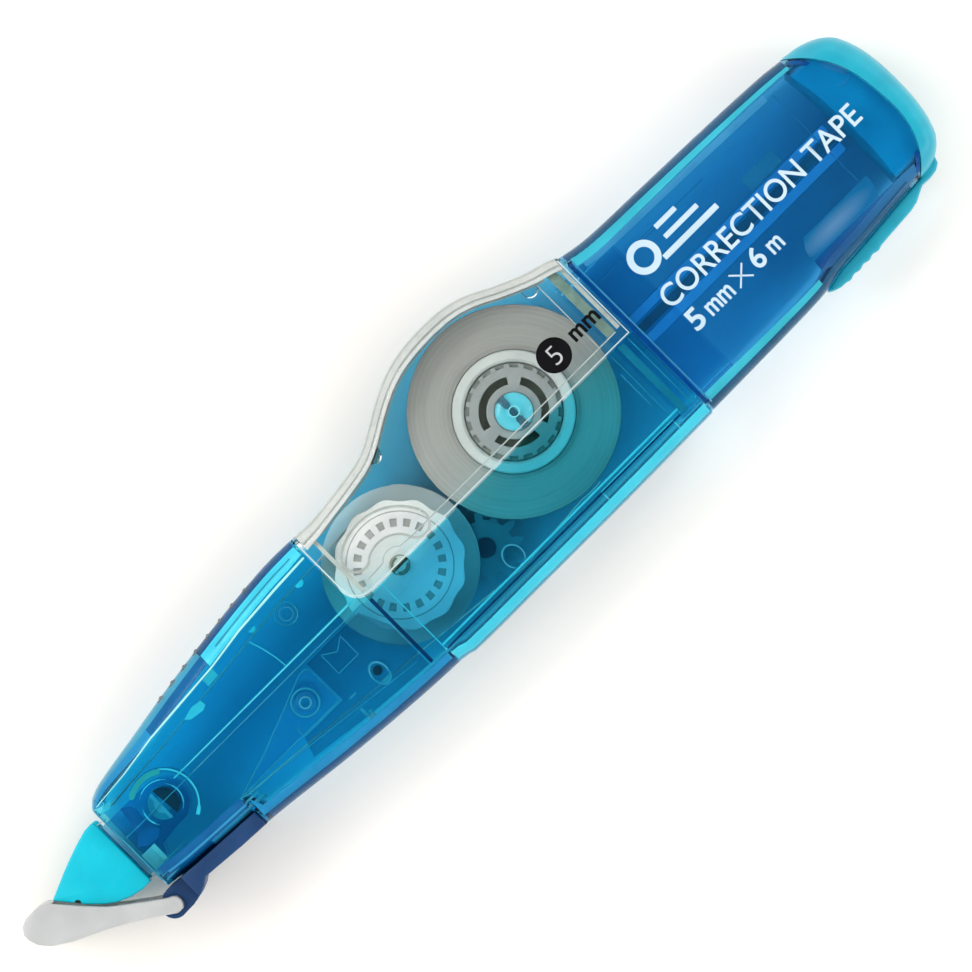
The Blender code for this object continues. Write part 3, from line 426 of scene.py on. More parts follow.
def revolve(name, profile, centre, mat=None, steps=96, closed=True):
    """Profile of (radius, height) points turned about a vertical axis through centre."""
    mesh = bpy.data.meshes.new(name)
    edges = [(i, i + 1) for i in range(len(profile) - 1)]
    if closed:
        edges.append((len(profile) - 1, 0))
    mesh.from_pydata([(r * MM, 0.0, z * MM) for r, z in profile], edges, [])
    helper = bpy.data.objects.new(name, mesh)
    screw = helper.modifiers.new("spin", "SCREW")
    screw.angle = math.tau
    screw.steps = steps
    screw.render_steps = steps
    screw.use_merge_vertices = True
    screw.merge_threshold = 0.00001
    result = evaluated_mesh(helper)
    for vertex in result.vertices:
        vertex.co.x += centre[0] * MM
        vertex.co.y += centre[1] * MM
    return finish_mesh(name, result, mat)


def tube(name, centre, inner, outer, z0, z1, mat=None, steps=96, edge=0.12):
    profile = [
        (outer - edge, z1), (outer, z1 - edge), (outer, z0 + edge), (outer - edge, z0),
        (inner + edge, z0), (inner, z0 + edge), (inner, z1 - edge), (inner + edge, z1),
    ]
    return revolve(name, profile, centre, mat, steps)


def rod(name, centre, radius, z0, z1, mat=None, steps=48, edge=0.12):
    profile = [
        (0.0, z1), (radius - edge, z1), (radius, z1 - edge),
        (radius, z0 + edge), (radius - edge, z0), (0.0, z0),
    ]
    return revolve(name, profile, centre, mat, steps, False)


def loft(name, rings, mat=None, cap="flat"):
    """Skin over rings of equally many points; both ends get a flat cap, a domed one or none."""
    count = len(rings[0])
    verts = [(x * MM, y * MM, z * MM) for ring in rings for x, y, z in ring]
    faces = []
    for k in range(len(rings) - 1):
        a, b = k * count, (k + 1) * count
        faces += [(a + i, a + (i + 1) % count, b + (i + 1) % count, b + i) for i in range(count)]
    last = len(verts) - count
    for first in (0, last):
        if cap == "flat":
            faces.append(tuple(range(first, first + count)))
        if cap == "domed":
            ring = verts[first:first + count]
            hub = len(verts)
            verts.append(tuple(sum(axis) / count for axis in zip(*ring)))
            faces += [(first + i, first + (i + 1) % count, hub) for i in range(count)]
    mesh = bpy.data.meshes.new(name)
    mesh.from_pydata(verts, [], faces)
    return finish_mesh(name, mesh, mat)


def combine(target, tool, operation):
    """Boolean tool into target, keep the result as plain mesh and drop the tool."""
    mat = target.data.materials[0]
    mod = target.modifiers.new(operation, "BOOLEAN")
    mod.operation = operation
    mod.solver = "EXACT"
    mod.object = tool
    graph = bpy.context.evaluated_depsgraph_get()
    mesh = bpy.data.meshes.new_from_object(target.evaluated_get(graph))
    target.modifiers.clear()
    target.data = mesh
    mesh.materials.clear()
    mesh.materials.append(mat)
    bpy.data.objects.remove(tool, do_unlink=True)


def add(target, tool):
    combine(target, tool, "UNION")


def cut(target, tool):
    combine(target, tool, "DIFFERENCE")


def resharpen(obj, angle=SHARP_ANGLE):
    obj.data.shade_smooth()
    obj.data.set_sharp_from_angle(angle=math.radians(angle))


def built(obj, body, slot, *stands_for):
    """Attach a finished piece to the body it rides on and hide the CAD it stands for; slot, its finish, is
    not used.
    """
    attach(obj, body)
    if stands_for:
        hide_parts(*stands_for)
    return obj


def interp(table, x):
    """Smooth curve through the table's points, flat beyond its ends."""
    if x <= table[0][0]:
        return table[0][1]
    if x >= table[-1][0]:
        return table[-1][1]
    i = max(k for k in range(len(table) - 1) if table[k][0] <= x)
    (x0, y0), (x1, y1) = table[i], table[i + 1]
    before = table[max(i - 1, 0)]
    after = table[min(i + 2, len(table) - 1)]
    m0 = (y1 - before[1]) / (x1 - before[0])
    m1 = (after[1] - y0) / (after[0] - x0)
    t, span = (x - x0) / (x1 - x0), x1 - x0
    return ((1 + 2 * t) * (1 - t) ** 2 * y0 + t * (1 - t) ** 2 * span * m0
            + t * t * (3 - 2 * t) * y1 + t * t * (t - 1) * span * m1)


def arc(centre, radius, start, stop, steps):
    points = []
    for i in range(steps + 1):
        a = math.radians(start + (stop - start) * i / steps)
        points.append((centre[0] + radius * math.cos(a), centre[1] + radius * math.sin(a)))
    return points


def circle(centre, radius, steps=48):
    return arc(centre, radius, 0.0, 360.0, steps)[:-1]


def box(x0, x1, y0, y1):
    return [(x0, y0), (x1, y0), (x1, y1), (x0, y1)]


def on_circle(centre, radius, angle):
    return arc(centre, radius, angle, angle, 1)[0]


def band_outline(centre, inner, outer, start, stop, steps):
    """Ring sector between two radii."""
    return arc(centre, outer, start, stop, steps) + arc(centre, inner, stop, start, steps)


def kidney_outline(centre, radius, half_width, start, stop, steps=24):
    """Slot along an arc with round ends."""
    outer = arc(centre, radius + half_width, start, stop, steps)
    inner = arc(centre, radius - half_width, stop, start, steps)
    far_end = arc(on_circle(centre, radius, stop), half_width, stop, stop + 180.0, 12)[1:-1]
    near_end = arc(on_circle(centre, radius, start), half_width, start + 180.0, start + 360.0, 12)[1:-1]
    return outer + far_end + inner + near_end


def strip(path, widths):
    """Outline of a band along path; widths is one number or one for each point."""
    if not isinstance(widths, (list, tuple)):
        widths = [widths] * len(path)
    left, right = [], []
    for i, (x, y) in enumerate(path):
        ax, ay = path[max(i - 1, 0)]
        bx, by = path[min(i + 1, len(path) - 1)]
        length = math.hypot(bx - ax, by - ay)
        nx, ny = -(by - ay) / length * widths[i] / 2.0, (bx - ax) / length * widths[i] / 2.0
        left.append((x + nx, y + ny))
        right.append((x - nx, y - ny))
    return left + right[::-1]


def plates(name, outlines, z0, z1, mat, level=None, round_edge=0.04):
    """Several thin plates in one piece; level(x) shifts them to follow a sloping wall."""
    whole = bmesh.new()
    for outline in outlines:
        part = prism(name + "_part", [outline], z0, z1, None, min(round_edge, (z1 - z0) / 3.0))
        whole.from_mesh(part.data)
        bpy.data.objects.remove(part, do_unlink=True)
    if level is not None:
        for vertex in whole.verts:
            vertex.co.z += level(vertex.co.x / MM) * MM
    mesh = bpy.data.meshes.new(name)
    whole.to_mesh(mesh)
    whole.free()
    return show(name, mesh, mat)


# ---------------- shells
ARC_STEPS = 8


def bottom_edge(x):
    return interp(BOTTOM_EDGE_FRONT, x) if x < BRACKET_STEP_X else interp(BOTTOM_EDGE, x)


def half_depth(x):
    """Half the depth at x: thinner at the nose, full after 16 mm."""
    t = min(max((x - BODY_X0) / 16.0, 0.0), 1.0)
    return HALF_NOSE + (HALF - HALF_NOSE) * math.sin(t * math.pi / 2.0)


def corner_top(x):
    """Height and depth of the rounded upper corner, which tightens where the window starts."""
    t = min(max((x + 19.0) / 7.0, 0.0), 1.0)
    front = min(max((x - BODY_X0) / 12.0, 0.0), 1.0)
    nose = NOSE_ROUND + (BODY_ROUND - NOSE_ROUND) * front
    return nose + (WINDOW_ROUND - nose) * t, BODY_ROUND_Z + (WINDOW_ROUND_Z - BODY_ROUND_Z) * t


def body_half_section(x, side, inset):
    """Outline of one half at x, drawn in by inset also where the edges rise and fall."""
    spread_x = [inset * k / 6.0 for k in range(-6, 7)] if inset > 0.0 else [0.0]
    tops, bottoms = [], []
    for d in spread_x:
        rise = math.sqrt(max(inset * inset - d * d, 0.0))
        tops.append(interp(TOP_EDGE, x + d) - rise)
        bottoms.append(bottom_edge(x + d) + rise)
    y1, y0 = min(tops), max(bottoms)
    depth = half_depth(x) - inset
    top_y, top_z = corner_top(x)
    top_y, top_z = max(top_y - inset, 0.4), max(top_z - inset, 0.4)
    low_y, low_z = LOWER_ROUND - inset, BODY_ROUND_Z - inset
    points = [(y0, GAP / 2.0)]
    for k in range(ARC_STEPS + 1):
        a = math.pi / 2.0 * k / ARC_STEPS
        points.append((y0 + low_y * (1.0 - math.cos(a)), depth - low_z * (1.0 - math.sin(a))))
    for k in range(ARC_STEPS, -1, -1):
        a = math.pi / 2.0 * k / ARC_STEPS
        points.append((y1 - top_y * (1.0 - math.cos(a)), depth - top_z * (1.0 - math.sin(a))))
    points.append((y1, GAP / 2.0))
    return [(x, y, ZC + side * h) for y, h in points]


def body_half(name, side, x0, x1, mat):
    """Wall of one half from x0 to x1, with close stations at the step behind the bracket."""
    stops = [x0 + (x1 - x0) * k / 88.0 for k in range(1, 88)]
    stops = [x for x in stops if abs(x - BRACKET_STEP_X) > 0.3]
    stops += [BRACKET_STEP_X + d for d in (-0.04, 0.04, -1.2, 1.2)]
    stations = [x0] + sorted(x for x in stops if x0 < x < x1) + [x1]
    rings = []
    for x in stations:
        rings.append(body_half_section(x, side, 0.0) + body_half_section(x, side, WALL)[::-1])
    return loft(name, rings, mat)


ABOVE_BODY = 20.0
CUT_LOW, CUT_HIGH = ZC - 1.0, ZC + 9.0
WINDOW_BEND = (WINDOW_LEFT + WINDOW_CORNER, WINDOW_BOTTOM + WINDOW_CORNER)


def window_outline(gap):
    points = [(WINDOW_RIGHT + gap, ABOVE_BODY), (WINDOW_LEFT - gap, ABOVE_BODY)]
    points += arc(WINDOW_BEND, WINDOW_CORNER + gap, 180.0, 270.0, 10)
    points.append((WINDOW_RIGHT + gap, WINDOW_BOTTOM - gap))
    return points


far_shell = body_half("far_shell_fine", -1.0, BODY_X0, BODY_X1, M["blue_far"])
built(far_shell, "housing", "blue_translucent", "far_shell")

# posts of the near shell: place, radius and lower end
POSTS = [(0.3, -10.4, 1.4, 3.6), (-19.8, -8.8, 1.1, 1.6), (-28.3, -5.5, 1.2, 1.6), (-22.6, 3.1, 1.2, 1.6)]
near_shell = body_half("near_shell_fine", 1.0, BODY_X0, BODY_X1, M["blue"])
for i, (x, y, radius, foot) in enumerate(POSTS):
    add(near_shell, tube(f"post_{i}", (x, y), radius * 0.5, radius, foot, ROOT_Z, steps=32, edge=0.1))
add(near_shell, prism("rib", [box(-43.0, -17.0, -2.1, -1.0)], NEAR_INNER_Z - 0.7, ROOT_Z))
cut(near_shell, prism("cut", [window_outline(GAP * 0.6)], CUT_LOW, CUT_HIGH))
sliver = box(27.0, 29.0, WINDOW_BOTTOM - GAP * 0.6, ABOVE_BODY)
cut(near_shell, prism("sliver", [sliver], CUT_LOW, CUT_HIGH))
resharpen(near_shell)
built(near_shell, "housing", "blue_translucent", "near_shell")

window = body_half("window_fine", 1.0, -20.0, BODY_X1, M["clear"])
combine(window, prism("keep", [window_outline(0.0)], CUT_LOW, CUT_HIGH), "INTERSECT")
slot_lip = kidney_outline(TAKEUP, SLOT_RADIUS, SLOT_HALF + 0.5, SLOT_START, SLOT_STOP)
add(window, prism("lip", [slot_lip], NEAR_INNER_Z - 0.5, ROOT_Z))
slot = kidney_outline(TAKEUP, SLOT_RADIUS, SLOT_HALF, SLOT_START, SLOT_STOP)
cut(window, prism("kidney", [slot], ZC + 4.0, CUT_HIGH))
for i, (x, y, radius) in enumerate([(23.1, 9.7, 1.0), (-2.9, 8.7, 0.8)]):
    add(window, rod(f"peg_{i}", (x, y), radius, ZC + 0.4, ROOT_Z, steps=32))
add(window, prism("rim", [box(-13.9, 27.6, -1.78, -0.7)], NEAR_INNER_Z - 0.6, ROOT_Z))
resharpen(window)
built(window, "window", "clear_plastic", "window_cover")


def between(points, f):
    """Point at fractional index f of a section."""
    i = min(int(f), len(points) - 2)
    t = f - i
    return tuple(p + (q - p) * t for p, q in zip(points[i], points[i + 1]))


def lining(name, section, x0, x1, start, stop, mat, inset, thick, steps=40, across=8):
    """Thin strip inside a wall; start and stop are its section indices at x0 and at x1."""
    rings = []
    for k in range(steps + 1):
        t = k / steps
        x = x0 + (x1 - x0) * t
        lo, hi = start[0] + (start[1] - start[0]) * t, stop[0] + (stop[1] - stop[0]) * t
        outer, inner = section(x, inset), section(x, inset + thick)
        picks = [lo + (hi - lo) * j / across for j in range(across + 1)]
        rings.append([between(outer, f) for f in picks] + [between(inner, f) for f in picks[::-1]])
    return loft(name, rings, mat)


def near_section(x, inset):
    return body_half_section(x, 1.0, inset)


def round_place(offset, inset, corner):
    """How many mesh steps round a corner a point lies that is this far in from the outline."""
    part = min(max((offset - inset) / (corner - inset), 0.0), 1.0)
    return math.degrees(math.acos(1.0 - part)) * ARC_STEPS / 90.0


def tail_ring(x, inset_y, inset_z, bulge):
    """Closed section of the tail at x, bowed out along X by bulge."""
    y1 = interp(TAIL_TOP, x) - inset_y
    y0 = interp(TAIL_BOTTOM, x) + inset_y
    depth = HALF - TAIL_NARROWING * (x - TAIL_X0) / (TAIL_X1 - TAIL_X0) - inset_z
    corner_y = max(min(TAIL_ROUND - inset_y, (y1 - y0) * 0.45), 0.3)
    corner_z = max(min(TAIL_ROUND_Z - inset_z, depth * 0.9), 0.3)
    quarter = []
    for k in range(ARC_STEPS + 1):
        a = math.pi / 2.0 * k / ARC_STEPS
        quarter.append((corner_y * (1.0 - math.cos(a)), depth - corner_z * (1.0 - math.sin(a))))
    near = [(y0 + dy, h) for dy, h in quarter]
    flat = y1 - y0 - 2.0 * corner_y
    near += [(y0 + corner_y + flat * k / 13.0, depth) for k in range(1, 13)]
    near += [(y1 - dy, h) for dy, h in quarter[::-1]]
    loop = near + [(y, -h) for y, h in near[::-1]]
    yc = (interp(TAIL_TOP, TAIL_X1) + interp(TAIL_BOTTOM, TAIL_X1)) / 2.0
    reach = (interp(TAIL_TOP, TAIL_X1) - interp(TAIL_BOTTOM, TAIL_X1)) / 2.0
    ring = []
    for y, h in loop:
        side = max(min((y - yc) / reach, 1.0), -1.0)
        bow = 1.0 - abs(side) ** 2.8 - TAIL_TILT * side
        ring.append((x + bulge * bow, y, ZC + h))
    return ring


def cap_outline(y):
    """How far the cap's outline stands out at y: a squarish half oval."""
    side = min(abs((y - CAP_Y) / CAP_REACH), 1.0)
    return CAP_X0 + CAP_CROWN * (1.0 - side ** CAP_SQUARE) ** (1.0 / CAP_SQUARE)


def cap_ring(angle):
    """Section of the cap, from its joint with the tail at 0 degrees to its crown at 90."""
    a = math.radians(angle)
    shrink = 1.0 - math.cos(a)
    ring = []
    for x, y, z in tail_ring(TAIL_X1, CAP_ROUND_Y * shrink, CAP_ROUND_Z * shrink, TAIL_BULGE):
        joint = x + CAP_GAP
        ring.append((joint + (cap_outline(y) - joint) * math.sqrt(math.sin(a)), y, z))
    return ring


def tail_near_section(x, inset):
    """Near half of the tail's section, in the order of body_half_section."""
    return tail_ring(x, inset, inset, 0.0)[:30]


def crown_ring(crown, scale):
    """The cap's crown drawn in by scale and raised towards its middle."""
    ring = []
    for _, y, z in crown:
        y = CAP_Y + (y - CAP_Y) * scale
        ring.append((cap_outline(y) + CAP_DOME * (1.0 - scale * scale), y, ZC + (z - ZC) * scale))
    return ring


stations = [28.04] + [28.3 + 1.25 * k for k in range(1, 26)]
outer_rings = [tail_ring(x, 0.0, 0.0, 0.0) for x in stations]
inner_rings = [tail_ring(x, WALL, WALL, 0.0) for x in stations]
for k in range(1, 7):
    x = TAIL_STRAIGHT + (TAIL_X1 - TAIL_STRAIGHT) * k / 6.0
    bulge = TAIL_BULGE * k / 6.0
    outer_rings.append(tail_ring(x, 0.0, 0.0, bulge))
    inner_rings.append(tail_ring(x, WALL, WALL, bulge))
tail_shell = loft("tail_shell_fine", outer_rings + inner_rings[::-1] + outer_rings[:1], M["tail"], "none")
built(tail_shell, "tail", "blue_translucent", "tail_shell")

cap_rings = [
    tail_ring(61.0, CAP_PLUG, CAP_PLUG, 1.2), tail_ring(TAIL_X1 + CAP_GAP, CAP_PLUG, CAP_PLUG, TAIL_BULGE),
]
cap_rings += [cap_ring(90.0 * (k / 16.0) ** 2) for k in range(17)]
cap_rings += [crown_ring(cap_rings[-1], scale) for scale in (0.9, 0.75, 0.6, 0.45, 0.3, 0.15, 0.05)]
tail_cap = loft("tail_cap_fine", cap_rings, M["cap"], "domed")

# the tongue starts under the cap, runs along its ribs and comes back along the tail's wall
RIBS_X, RIB_PITCH, RIB_DEPTH = 55.4, 1.55, 0.09
TONGUE = [
    (66.8, -12.1), (66.5, -13.0), (65.7, -13.5), (64.6, -13.65), (63.4, -13.6), (62.6, -14.0),
    (61.6, -14.5), (60.4, -14.75), (56.5, -15.02),
]
for k in range(31):
    along = 0.2 * k
    wave = 1.0 - math.cos(math.tau * along / RIB_PITCH)
    TONGUE.append((RIBS_X - along, -15.1 - 0.032 * along - RIB_DEPTH * wave))
TONGUE += [
    (48.6, -15.28), (47.9, -15.05), (47.4, -14.78), (47.35, -14.58), (47.7, -14.38), (48.5, -14.2),
    (50.0, -13.88), (55.0, -13.57), (60.0, -13.12), (63.9, -12.85), (65.0, -12.1),
]
add(tail_cap, prism("tongue", [TONGUE], 4.2, 9.8, round_edge=0.25))
resharpen(tail_cap, 40.0)
built(tail_cap, "cap", "cyan_cap", "tail_cap")

# ---------------- inside faces of the nose
def nose_level(x):
    return half_depth(x) - HALF


INNER = NEAR_INNER_Z - 0.02


def near_plates(name, outlines, mat, thick=0.2, drop=0.0):
    """Plates under the near wall of the nose or middle, drop below its inner face."""
    piece = plates(name, outlines, INNER - drop - thick, INNER - drop, M[mat], nose_level)
    return built(piece, "housing", "blue_translucent")


def edge_strip(name, wall, x0, x1, outer, inner, mat, inset=0.3, thick=0.15):
    """Strip inside a wall's rounded corner; outer and inner are its distances from the
    outline at x0 and x1, and an outer of None carries it down to the wall's rim."""
    section, first, step, corner, rim, body = WALLS[wall]

    def places(offsets):
        return tuple(first + step * round_place(d, inset, corner) for d in offsets)

    outer = (rim, rim) if outer is None else places(outer)
    piece = lining(name, section, x0, x1, outer, places(inner), M[mat], inset, thick)
    return built(piece, body, "clear_plastic" if body == "window" else "blue_translucent")


# section, its first index at the corner, direction, corner radius, index of the rim, body
WALLS = {
    "top": (near_section, 18.0, -1.0, BODY_ROUND, 18.9, "housing"),
    "bottom": (near_section, 1.0, 1.0, LOWER_ROUND, 0.1, "housing"),
    "tail_top": (tail_near_section, 29.0, -1.0, TAIL_ROUND, 29.0, "tail"),
    "tail_bottom": (tail_near_section, 0.0, 1.0, TAIL_ROUND, 0.0, "tail"),
    "window": (near_section, 18.0, -1.0, WINDOW_ROUND, 18.9, "window"),
}
# strips in the nose's upper rounded edge: the rim strips are painted shade, the slope strips painted light
# and shade, and the bright strip on the back of the slope a painted reflection
edge_strip("nose_edge_front", "top", -53.2, -33.1, None, (0.9, 0.95), "mid_blue")
edge_strip("nose_edge_back", "top", -33.0, -16.7, None, (0.95, 0.95), "edge_blue")
edge_strip("nose_slope_front", "top", -53.0, -43.4, (0.85, 0.9), (1.8, 2.0), "slope_blue")
edge_strip("nose_slope_dark", "top", -43.4, -33.1, (0.9, 0.9), (2.0, 2.1), "slope_dark")
edge_strip("nose_slope_back", "top", -33.0, -16.7, (0.95, 0.95), (2.5, 2.35), "highlight")
edge_strip("nose_slope_stripe", "top", -31.0, -18.0, (1.5, 1.5), (1.62, 1.6), "soft", 0.15, 0.08)
# the near-black ticks at the grip ridges are painted shade
GRIPS = 8
for k in range(GRIPS):
    x = -39.8 + 2.23 * k
    edge_strip(f"grip_tick_{k}", "top", x - 0.5, x + 0.5, None, (0.26, 0.26), "deep", 0.12, 0.1)
# under the bracket: its dark edge, painted shade on the faces above it, a light line, and a painted
# highlight near the outline at its back
edge_strip("bracket_edge", "bottom", -53.4, -41.3, None, (0.6, 0.6), "navy")
edge_strip("bracket_edge_face", "bottom", -53.4, -41.3, (0.5, 0.5), (1.15, 1.15), "slope_dark")
edge_strip("bracket_edge_line", "bottom", -53.0, -41.3, (1.15, 1.15), (1.4, 1.4), "spine")
edge_strip("bracket_upper_face", "bottom", -53.4, -41.3, (1.4, 1.4), (2.3, 2.3), "slope_dark")
edge_strip("bracket_highlight", "bottom", -47.0, -41.3, (0.3, 0.3), (0.85, 0.85), "spine", 0.2)
# along the lower edge: painted shade on the rim, painted light and shade on the slope, and a painted
# highlight band below the window
edge_strip("nose_bottom_edge", "bottom", -40.8, -12.6, None, (1.0, 0.9), "edge_blue")
edge_strip("nose_lower_step", "bottom", -40.6, -12.8, (0.95, 0.95), (1.9, 1.7), "slope_blue")
edge_strip("middle_bottom_edge", "bottom", -12.4, 27.9, None, (0.4, 0.4), "mid_blue")
edge_strip("band_bottom", "bottom", -12.4, 27.9, (0.5, 0.5), (1.5, 1.5), "highlight")

# the crease along the upper slope, drawn as a thin painted highlight on the outer face
CREASE = [
    (-53.6, 2.9), (-48.6, 3.35), (-43.6, 4.1), (-40.4, 4.35), (-32.8, 4.92), (-27.8, 5.66), (-21.5, 6.1),
    (-16.7, 6.32),
]
CREASE_WIDTHS = [0.1, 0.14, 0.18, 0.24, 0.2, 0.26, 0.3, 0.26]
near_plates("crease_edge", [strip(CREASE, CREASE_WIDTHS)], "crease", 0.3, -1.23)
near_plates("long_rib_upper", [strip([(-45.0, -1.0), (-16.5, -1.05)], [0.16, 0.26])], "pale", 0.5)
near_plates("long_rib_lower", [
    strip([(-53.9, -2.0), (-34.0, -2.05), (-15.6, -2.1)], [0.1, 0.12, 0.12]),
], "soft", 0.5)
near_plates("cross_rib", [
    strip([(-27.95, 3.95), (-27.4, 2.2), (-27.05, 0.6), (-26.9, -0.9)], 0.13),
], "pale", 0.3)
# two small painted highlights below the crease
near_plates("highlight_half_ovals", [
    arc((-26.7, 4.85), 0.5, 180.0, 360.0, 10), arc((-19.2, 4.75), 0.6, 180.0, 360.0, 10),
], "highlight")
near_plates("step_plate", [
    box(-24.4, -23.4, -8.9, -8.65), box(-24.5, -24.1, -11.9, -10.4),
    box(-23.9, -23.5, -12.2, -11.2),
], "soft", 0.2)
near_plates("latch_plate", [box(-53.9, -51.9, -6.9, -4.65)], "clear_white", 0.25, 0.7)
near_plates("latch_sheen", [box(-53.9, -51.9, -7.9, -7.0)], "spine", 0.2, 0.7)
# painted highlights in the nose: a bright rectangle, a light oval and a spot at the front
near_plates("nose_highlights", [
    [(-34.8, 3.6), (-33.1, 3.75), (-33.1, 4.85), (-34.8, 4.65)],
    [(-39.5, 2.9), (-38.9, 2.35), (-37.1, 2.1), (-36.5, 2.4), (-36.6, 3.1), (-37.8, 3.35)],
    [(-53.9, 2.7), (-52.0, 2.3), (-52.6, 1.7), (-53.9, 1.9)],
], "pale", 0.2, 0.1)
near_plates("latch_shade", [
    [(-51.9, 0.9), (-50.9, 0.3), (-50.6, -0.6), (-50.9, -2.2), (-50.3, -3.9), (-51.0, -4.6), (-52.6, -4.4),
     (-53.6, -3.6), (-52.4, -2.4), (-52.2, -0.8)],
], "slope_dark", 0.2, 1.0)
# a see-through sheet of painted shade over the lower right of the nose
near_plates("lower_painted_shade", [
    [(-25.1, -2.5), (-16.8, -2.5), (-15.2, -6.0), (-15.2, -12.4), (-24.0, -11.7), (-32.0, -10.6),
     (-31.2, -8.3), (-25.1, -8.3)],
], "shade", 0.15, 0.7)
near_plates("plate_edges", [
    strip([(-40.8, -7.9), (-36.0, -6.4), (-30.0, -4.1), (-26.5, -2.75), (-25.7, -2.75), (-25.35, -3.3),
                   (-25.3, -8.05)], 0.13),
    strip([(-40.8, -8.0), (-31.3, -7.95)], 0.14),
    strip([(-31.1, -8.1), (-31.1, -7.1), (-30.5, -6.9)], 0.13),
    strip([(-31.1, -8.1), (-25.3, -8.1)], 0.2),
], "soft", 0.4)
near_plates("plate_sheet", [
    [(-40.6, -7.95), (-36.0, -6.5), (-30.0, -4.2), (-26.5, -2.85), (-25.4, -3.3), (-25.4, -7.9)],
], "light_blue", 0.15, 0.45)
near_plates("mould_mark", [
    strip([(-21.65, -3.95), (-23.15, -2.98)], 0.12), strip([(-23.22, -2.95), (-23.25, -5.75)], 0.12),
    strip([(-23.28, -5.85), (-20.05, -5.85)], 0.12), strip([(-20.12, -5.75), (-20.1, -2.95)], 0.12),
    strip([(-21.6, -3.95), (-20.16, -2.98)], 0.12),
], "soft", 0.2)


def oval(centre, radius, squash, steps=40):
    return [(centre[0] + radius * math.cos(a), centre[1] + radius * squash * math.sin(a))
            for a in [math.tau * i / steps for i in range(steps)]]


def bend(obj, level):
    """Move a piece's points up or down by level(x), so that it follows a sloping wall."""
    for vertex in obj.data.vertices:
        vertex.co.z += level(vertex.co.x / MM) * MM


def ring_piece(name, centre, outer, inner, mat, drop=0.1, thick=0.5, squash=1.0):
    outlines = [oval(centre, outer, squash), oval(centre, inner, squash)]
    piece = prism(name, outlines, INNER - drop - thick, INNER - drop, M[mat], 0.06)
    bend(piece, nose_level)
    return built(piece, "housing", "blue_translucent")


ring_piece("post_ring_plate", (-28.3, -5.5), 1.75, 1.5, "soft")
ring_piece("post_ring_plate_core", (-28.3, -5.5), 0.75, 0.5, "soft")
ring_piece("post_ring_top", (-22.7, 3.2), 1.4, 1.25, "soft")
ring_piece("post_ring_top_core", (-22.7, 3.2), 0.85, 0.75, "soft")
ring_piece("post_ring_oval", (-19.9, -9.1), 1.1, 0.9, "soft", thick=0.4, squash=1.45)
near_plates("post_oval_foot", [arc((-19.9, -9.9), 0.75, 180.0, 360.0, 14)], "soft", 0.2, 0.3)
# the post's bore, dark with painted shade
near_plates("post_oval_core", [circle((-19.9, -8.7), 0.6, 24)], "deep", 0.2, 0.3)

# head boss: bright rim arcs and a light left face of painted light, and a dark right face of painted shade
near_plates("head_boss_painted_shade", [arc(HEAD_PIVOT, 1.9, -78.0, 88.0, 24)], "deep", 0.2, 0.35)
near_plates("head_boss_painted_light", [arc(HEAD_PIVOT, 1.85, 95.0, 262.0, 24)], "soft", 0.2, 0.35)


def tapered_arc(radius, start, stop, steps, width, thin, ends):
    """Arc line round the boss that is thin over its first and last few points."""
    widths = [thin] * ends + [width] * (steps + 1 - 2 * ends) + [thin] * ends
    return strip(arc(HEAD_PIVOT, radius, start, stop, steps), widths)


near_plates("head_boss_glints", [
    tapered_arc(2.45, 150.0, 215.0, 14, 0.16, 0.05, 3), tapered_arc(2.3, -60.0, 40.0, 18, 0.12, 0.04, 4),
    tapered_arc(2.75, 40.0, 125.0, 16, 0.14, 0.05, 3),
], "pale", 0.2, 0.1)
LEAF_CENTRE = (-47.9, -2.3)
near_plates("leaf_top", [strip(arc(LEAF_CENTRE, 3.75, 52.0, 128.0, 18), [0.2] + [0.7] * 17 + [0.2])],
            "leaf", 0.4, 0.1)
near_plates("leaf_side", [strip(arc(LEAF_CENTRE, 4.0, -62.0, 62.0, 30), [0.45] * 4 + [0.2] * 27)],
            "pale", 0.25, 0.25)
near_plates("lower_ledges", [
    strip([(-53.8, -8.6), (-49.0, -8.35), (-44.0, -8.55), (-39.2, -8.9)], [0.25, 0.3, 0.25, 0.3]),
    strip([(-47.0, -8.95), (-43.0, -9.15), (-38.9, -9.7)], [0.25, 0.45, 0.45]),
    strip([(-40.0, -8.4), (-30.0, -9.5), (-16.0, -11.2)], [0.1, 0.14, 0.1]),
    strip([(-53.9, -6.95), (-49.2, -7.0)], [0.14, 0.1]),
], "soft", 0.3)

# row of grip ridges on the upper edge, coloured near black as painted shade
dashes = []
for k in range(GRIPS):
    x = -40.0 + 2.22 * k
    y = interp(TOP_EDGE, x)
    slope = interp(TOP_EDGE, x + 0.5) - interp(TOP_EDGE, x - 0.5)
    ends = [(x - 0.28, y - 0.12 - 0.28 * slope), (x + 0.26, y + 0.02 + 0.26 * slope)]
    dashes.append(strip(ends, [0.16, 0.22]))
built(plates("grip_dashes", dashes, 4.2, 9.8, M["grip"], None, 0.05), "housing", "blue_dark")

# front edge of the nose, seen along its wall
near_plates("nose_front_edge", [strip([(-54.1, -8.9), (-54.1, 2.9)], 0.16)], "soft", 0.25, -0.4)

